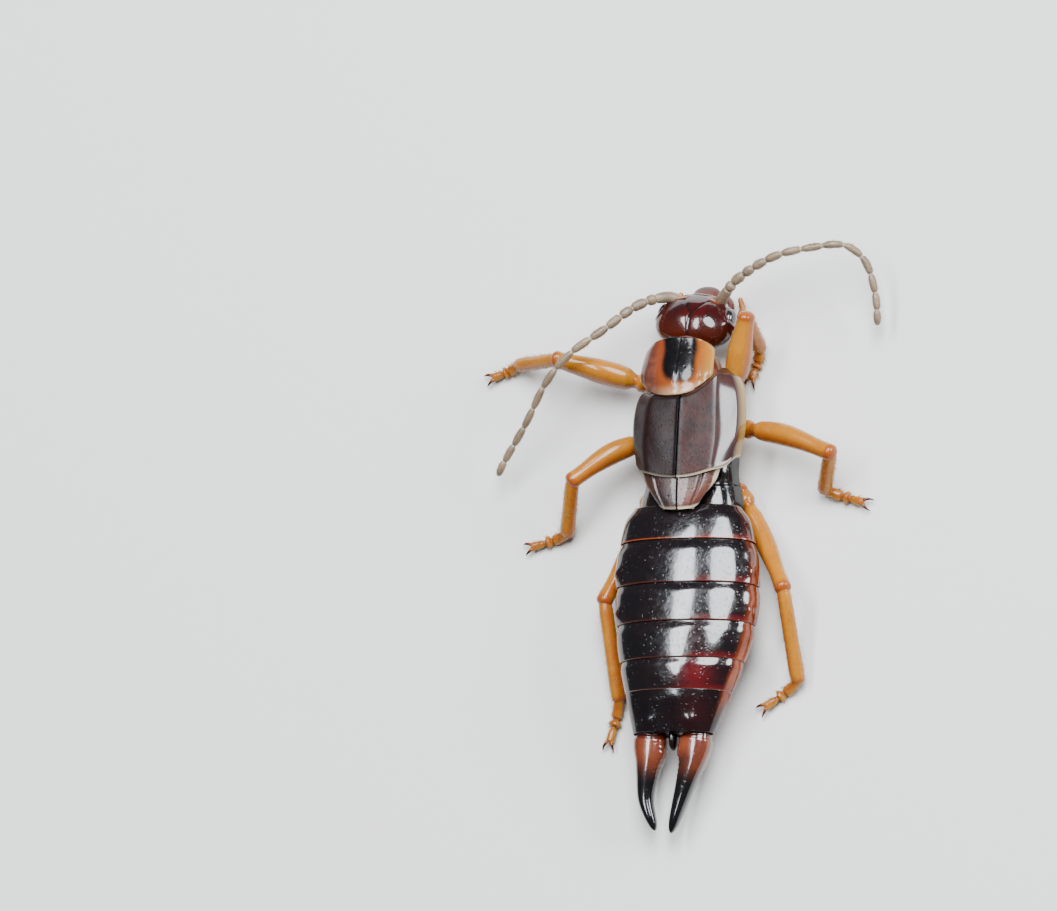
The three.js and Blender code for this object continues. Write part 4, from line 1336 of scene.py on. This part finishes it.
def foot_surface(ankle, claw_end, thick, bristle, bristles, seed):
    """The foot: down from the ankle to the floor, then level; three joints, the second short and wide.

    Its half size runs smoothly through the sizes below. Nothing of it reaches below the floor.
    """
    rows = 120
    t = np.linspace(0, 1, rows)
    bend = ankle + (claw_end - ankle) * 0.3
    bend[2] = thick / 2
    forward = unit((claw_end - bend) * (1, 1, 0))
    toe = claw_end - forward * CLAW_LENGTH
    toe[2] = thick / 2 + 0.02
    path = route([ankle, bend, toe], rows)
    half = thick / 2 * through(
        (0, 0.9), (0.2, 1.0), (0.42, 1.05), (0.49, 0.62), (0.56, 1.1), (0.64, 1.15), (0.68, 0.55),
        (0.78, 0.75), (1, 0.85),
    )(t)
    form = carried(path, half, Z, joint=bump(t - 0.49, 0.02) + bump(t - 0.68, 0.02))
    hairs = bristles_on(path, half, (0.1, 0.95), bristles, bristle, 0.9, seed)
    points, faces, values = merged(form, hairs, *(claw_surface(toe, forward, side) for side in (-1, 1)))
    return np.maximum(points, (-np.inf, -np.inf, 0)), faces, values


def claw_surface(toe, forward, side):
    """A claw: a cone carried along a hook that spreads from the toe and turns down."""
    sideways = np.cross(forward, Z)
    hook = [
        toe + forward * ahead + sideways * side * out + Z * rise
        for ahead, out, rise in (
            (-0.04, 0.03, 0), (0.1, 0.09, 0.05), (0.22, 0.14, 0.02), (CLAW_LENGTH, 0.16, -0.07)
        )
    ]
    rows = 36
    t = np.linspace(0, 1, rows)
    half = 0.062 * (1 - 0.85 * t**1.3)
    return carried(route(hook, rows), half, Z, sides=16, domes=(0.5, 0.5), claw=smooth(0.1, 0.6, t))


class EARWIG_OT_legs(bpy.types.Operator):
    """Adds the six legs: coxa, femur, tibia, and a foot of three joints and two claws"""

    bl_idname = "earwig.legs"
    bl_label = "Legs"

    def execute(self, context):
        sizes = context.scene.earwig_sizes
        bristle, bristles = sizes.bristle / MM, sizes.bristles
        for index, (name, points) in enumerate(LEGS.items()):
            hip, start, knee, ankle, claw_end = (np.array(point) for point in points)
            plane = unit(np.cross(knee - start, ankle - knee))  # Square to the plane the leg bends in.
            seed = SEED + index
            size = FEMUR[name.split("_")[0]]
            tibia, tarsus = sizes.tibia / MM, sizes.tarsus / MM
            forms = {
                "coxa": coxa_surface(hip, start),
                "femur": femur_surface(start, knee, plane, size, bristle, seed),
                "tibia": tibia_surface(knee, ankle, plane, tibia, bristle, bristles, seed + 10),
                "tarsus": foot_surface(ankle, claw_end, tarsus, bristle, bristles, seed + 20),
            }
            for part, surface in forms.items():
                piece(f"{part}_{name}_shell", surface, "Leg shell", "leg_shell", f"{part}_{name}")
        return {"FINISHED"}


# Stage. The camera looks down at the animal from its right and rear, rolled a little, in degrees. Its
# field is width wide, and its middle lies off the anchor, along the camera's right and up, in millimetres.
VIEW = {
    "right": 20.0, "behind": 15.0, "roll": 3.2,
    "width": 28.57, "anchor": (0, 0, 2.3), "off": (-4.0946, -1.662),
}
FLOOR_HALF = 0.6  # Metres from the floor's middle to its edge.
LIT = np.array([0, -3.7, 1.2])  # The point that the lights face.
# Lights: direction from that point, distance and size in metres, and share of the key power.
LIGHTS = {
    "left window": ((-0.27, 0.21, 0.94), 0.2, (0.03, 0.18), 0.45),
    "right window": ((0.24, 0.35, 0.9), 0.2, (0.1, 0.18), 1.2),
    "low fill": ((0.87, 0.26, 0.44), 0.25, (0.08, 0.14), 0.8),
}


def view_axes():
    """The camera's right, up and back directions, from its lean to the right and rear and its roll."""
    right_lean, back_lean = (math.tan(math.radians(VIEW[name])) for name in ("right", "behind"))
    back = unit(np.array([right_lean, -back_lean, 1.0]))
    head_up = unit(np.array([0, 1.0, 0]) - back * back[1])
    level = np.cross(head_up, back)
    roll = math.radians(VIEW["roll"])
    up = math.cos(roll) * head_up - math.sin(roll) * level
    right = math.cos(roll) * level + math.sin(roll) * head_up
    return right, up, back


def placed_item(name, data, place, axes):
    """Adds a light or camera at a place in millimetres, its own x, y and z along the three axes."""
    item = bpy.data.objects.new(name, data)
    item.location = Vector(place * MM)
    item.rotation_mode = "QUATERNION"
    item.rotation_quaternion = Matrix(np.stack(axes, 1).tolist()).to_quaternion()
    bpy.context.scene.collection.objects.link(item)
    return item


def soft_light(name, direction, distance, size, power):
    """An oval area light that faces the lit point, its height along the animal's length."""
    data = bpy.data.lights.new(name, "AREA")
    data.shape = "ELLIPSE"
    data.size, data.size_y = size
    data.energy = power
    data.color = (0.9, 0.95, 1.0)
    back = unit(np.array(direction))
    right = unit(np.cross((0, 1.0, 0), back))
    placed_item(name, data, SHIFT + LIT + back * distance / MM, (right, np.cross(back, right), back))


class EARWIG_OT_stage(bpy.types.Operator):
    """Adds the floor, the soft lights and the camera"""

    bl_idname = "earwig.stage"
    bl_label = "Stage"

    def execute(self, context):
        settings = context.scene.earwig_stage

        def paper(tree):
            grain = noise(tree, 900.0, 4.0)
            return {
                "Base Color": settings.floor,
                "Roughness": 0.75,
                "Normal": raised(tree, grain, 0.02, strength=0.5),
            }

        corners = [(x * FLOOR_HALF, y * FLOOR_HALF, 0) for x, y in ((-1, -1), (1, -1), (1, 1), (-1, 1))]
        mesh = bpy.data.meshes.new("floor")
        mesh.from_pydata(corners, [], [(0, 1, 2, 3)])
        mesh.materials.append(painted("Floor paper", paper))
        floor = bpy.data.objects.new("floor", mesh)
        context.scene.collection.objects.link(floor)

        for name, (direction, distance, size, share) in LIGHTS.items():
            soft_light(name, direction, distance, size, settings.key * share)
        world = bpy.data.worlds.new("Soft room")
        world.use_nodes = True
        background = world.node_tree.nodes["Background"]
        background.inputs["Color"].default_value = (0.8, 0.86, 1.0, 1)
        background.inputs["Strength"].default_value = 0.15
        context.scene.world = world

        axes = right, up, back = view_axes()
        centre = np.array(VIEW["anchor"]) + VIEW["off"][0] * right + VIEW["off"][1] * up
        data = bpy.data.cameras.new("camera")
        data.lens = settings.lens
        data.clip_start, data.clip_end = 0.01, 10
        distance = VIEW["width"] * settings.lens / data.sensor_width
        context.scene.camera = placed_item("camera", data, SHIFT + centre + back * distance, axes)
        return {"FINISHED"}


OPERATORS = [
    EARWIG_OT_head, EARWIG_OT_eyes, EARWIG_OT_mouth, EARWIG_OT_pronotum, EARWIG_OT_thorax,
    EARWIG_OT_wing_cases, EARWIG_OT_wing_tips, EARWIG_OT_abdomen, EARWIG_OT_forceps,
    EARWIG_OT_feelers, EARWIG_OT_legs, EARWIG_OT_stage,
]
SETTINGS = {"earwig_sizes": EarwigSizes, "earwig_colours": EarwigColours, "earwig_stage": EarwigStage}


class EARWIG_PT_panel(bpy.types.Panel):
    """Lists the earwig's sizes, colours and pieces"""

    bl_label = "Earwig"
    bl_idname = "EARWIG_PT_panel"
    bl_space_type = "VIEW_3D"
    bl_region_type = "UI"
    bl_category = "Earwig"

    def draw(self, context):
        for group in SETTINGS:
            settings = getattr(context.scene, group)
            box = self.layout.box()
            for name in settings.bl_rna.properties.keys():
                if name not in ("rna_type", "name"):
                    box.prop(settings, name)
        for operator in OPERATORS:
            self.layout.operator(operator.bl_idname)


CLASSES = [*SETTINGS.values(), *OPERATORS, EARWIG_PT_panel]


def register():
    """Registers the classes and gives the scene their settings."""
    for cls in CLASSES:
        bpy.utils.register_class(cls)
    for name, group in SETTINGS.items():
        setattr(bpy.types.Scene, name, PointerProperty(type=group))


def unregister():
    """Takes back what register() did."""
    for name in SETTINGS:
        delattr(bpy.types.Scene, name)
    for cls in reversed(CLASSES):
        bpy.utils.unregister_class(cls)


def main():
    register()
    for operator in OPERATORS:
        name = operator.bl_idname.split(".")[1]
        getattr(bpy.ops.earwig, name)()


if __name__ == "__main__":
    main()
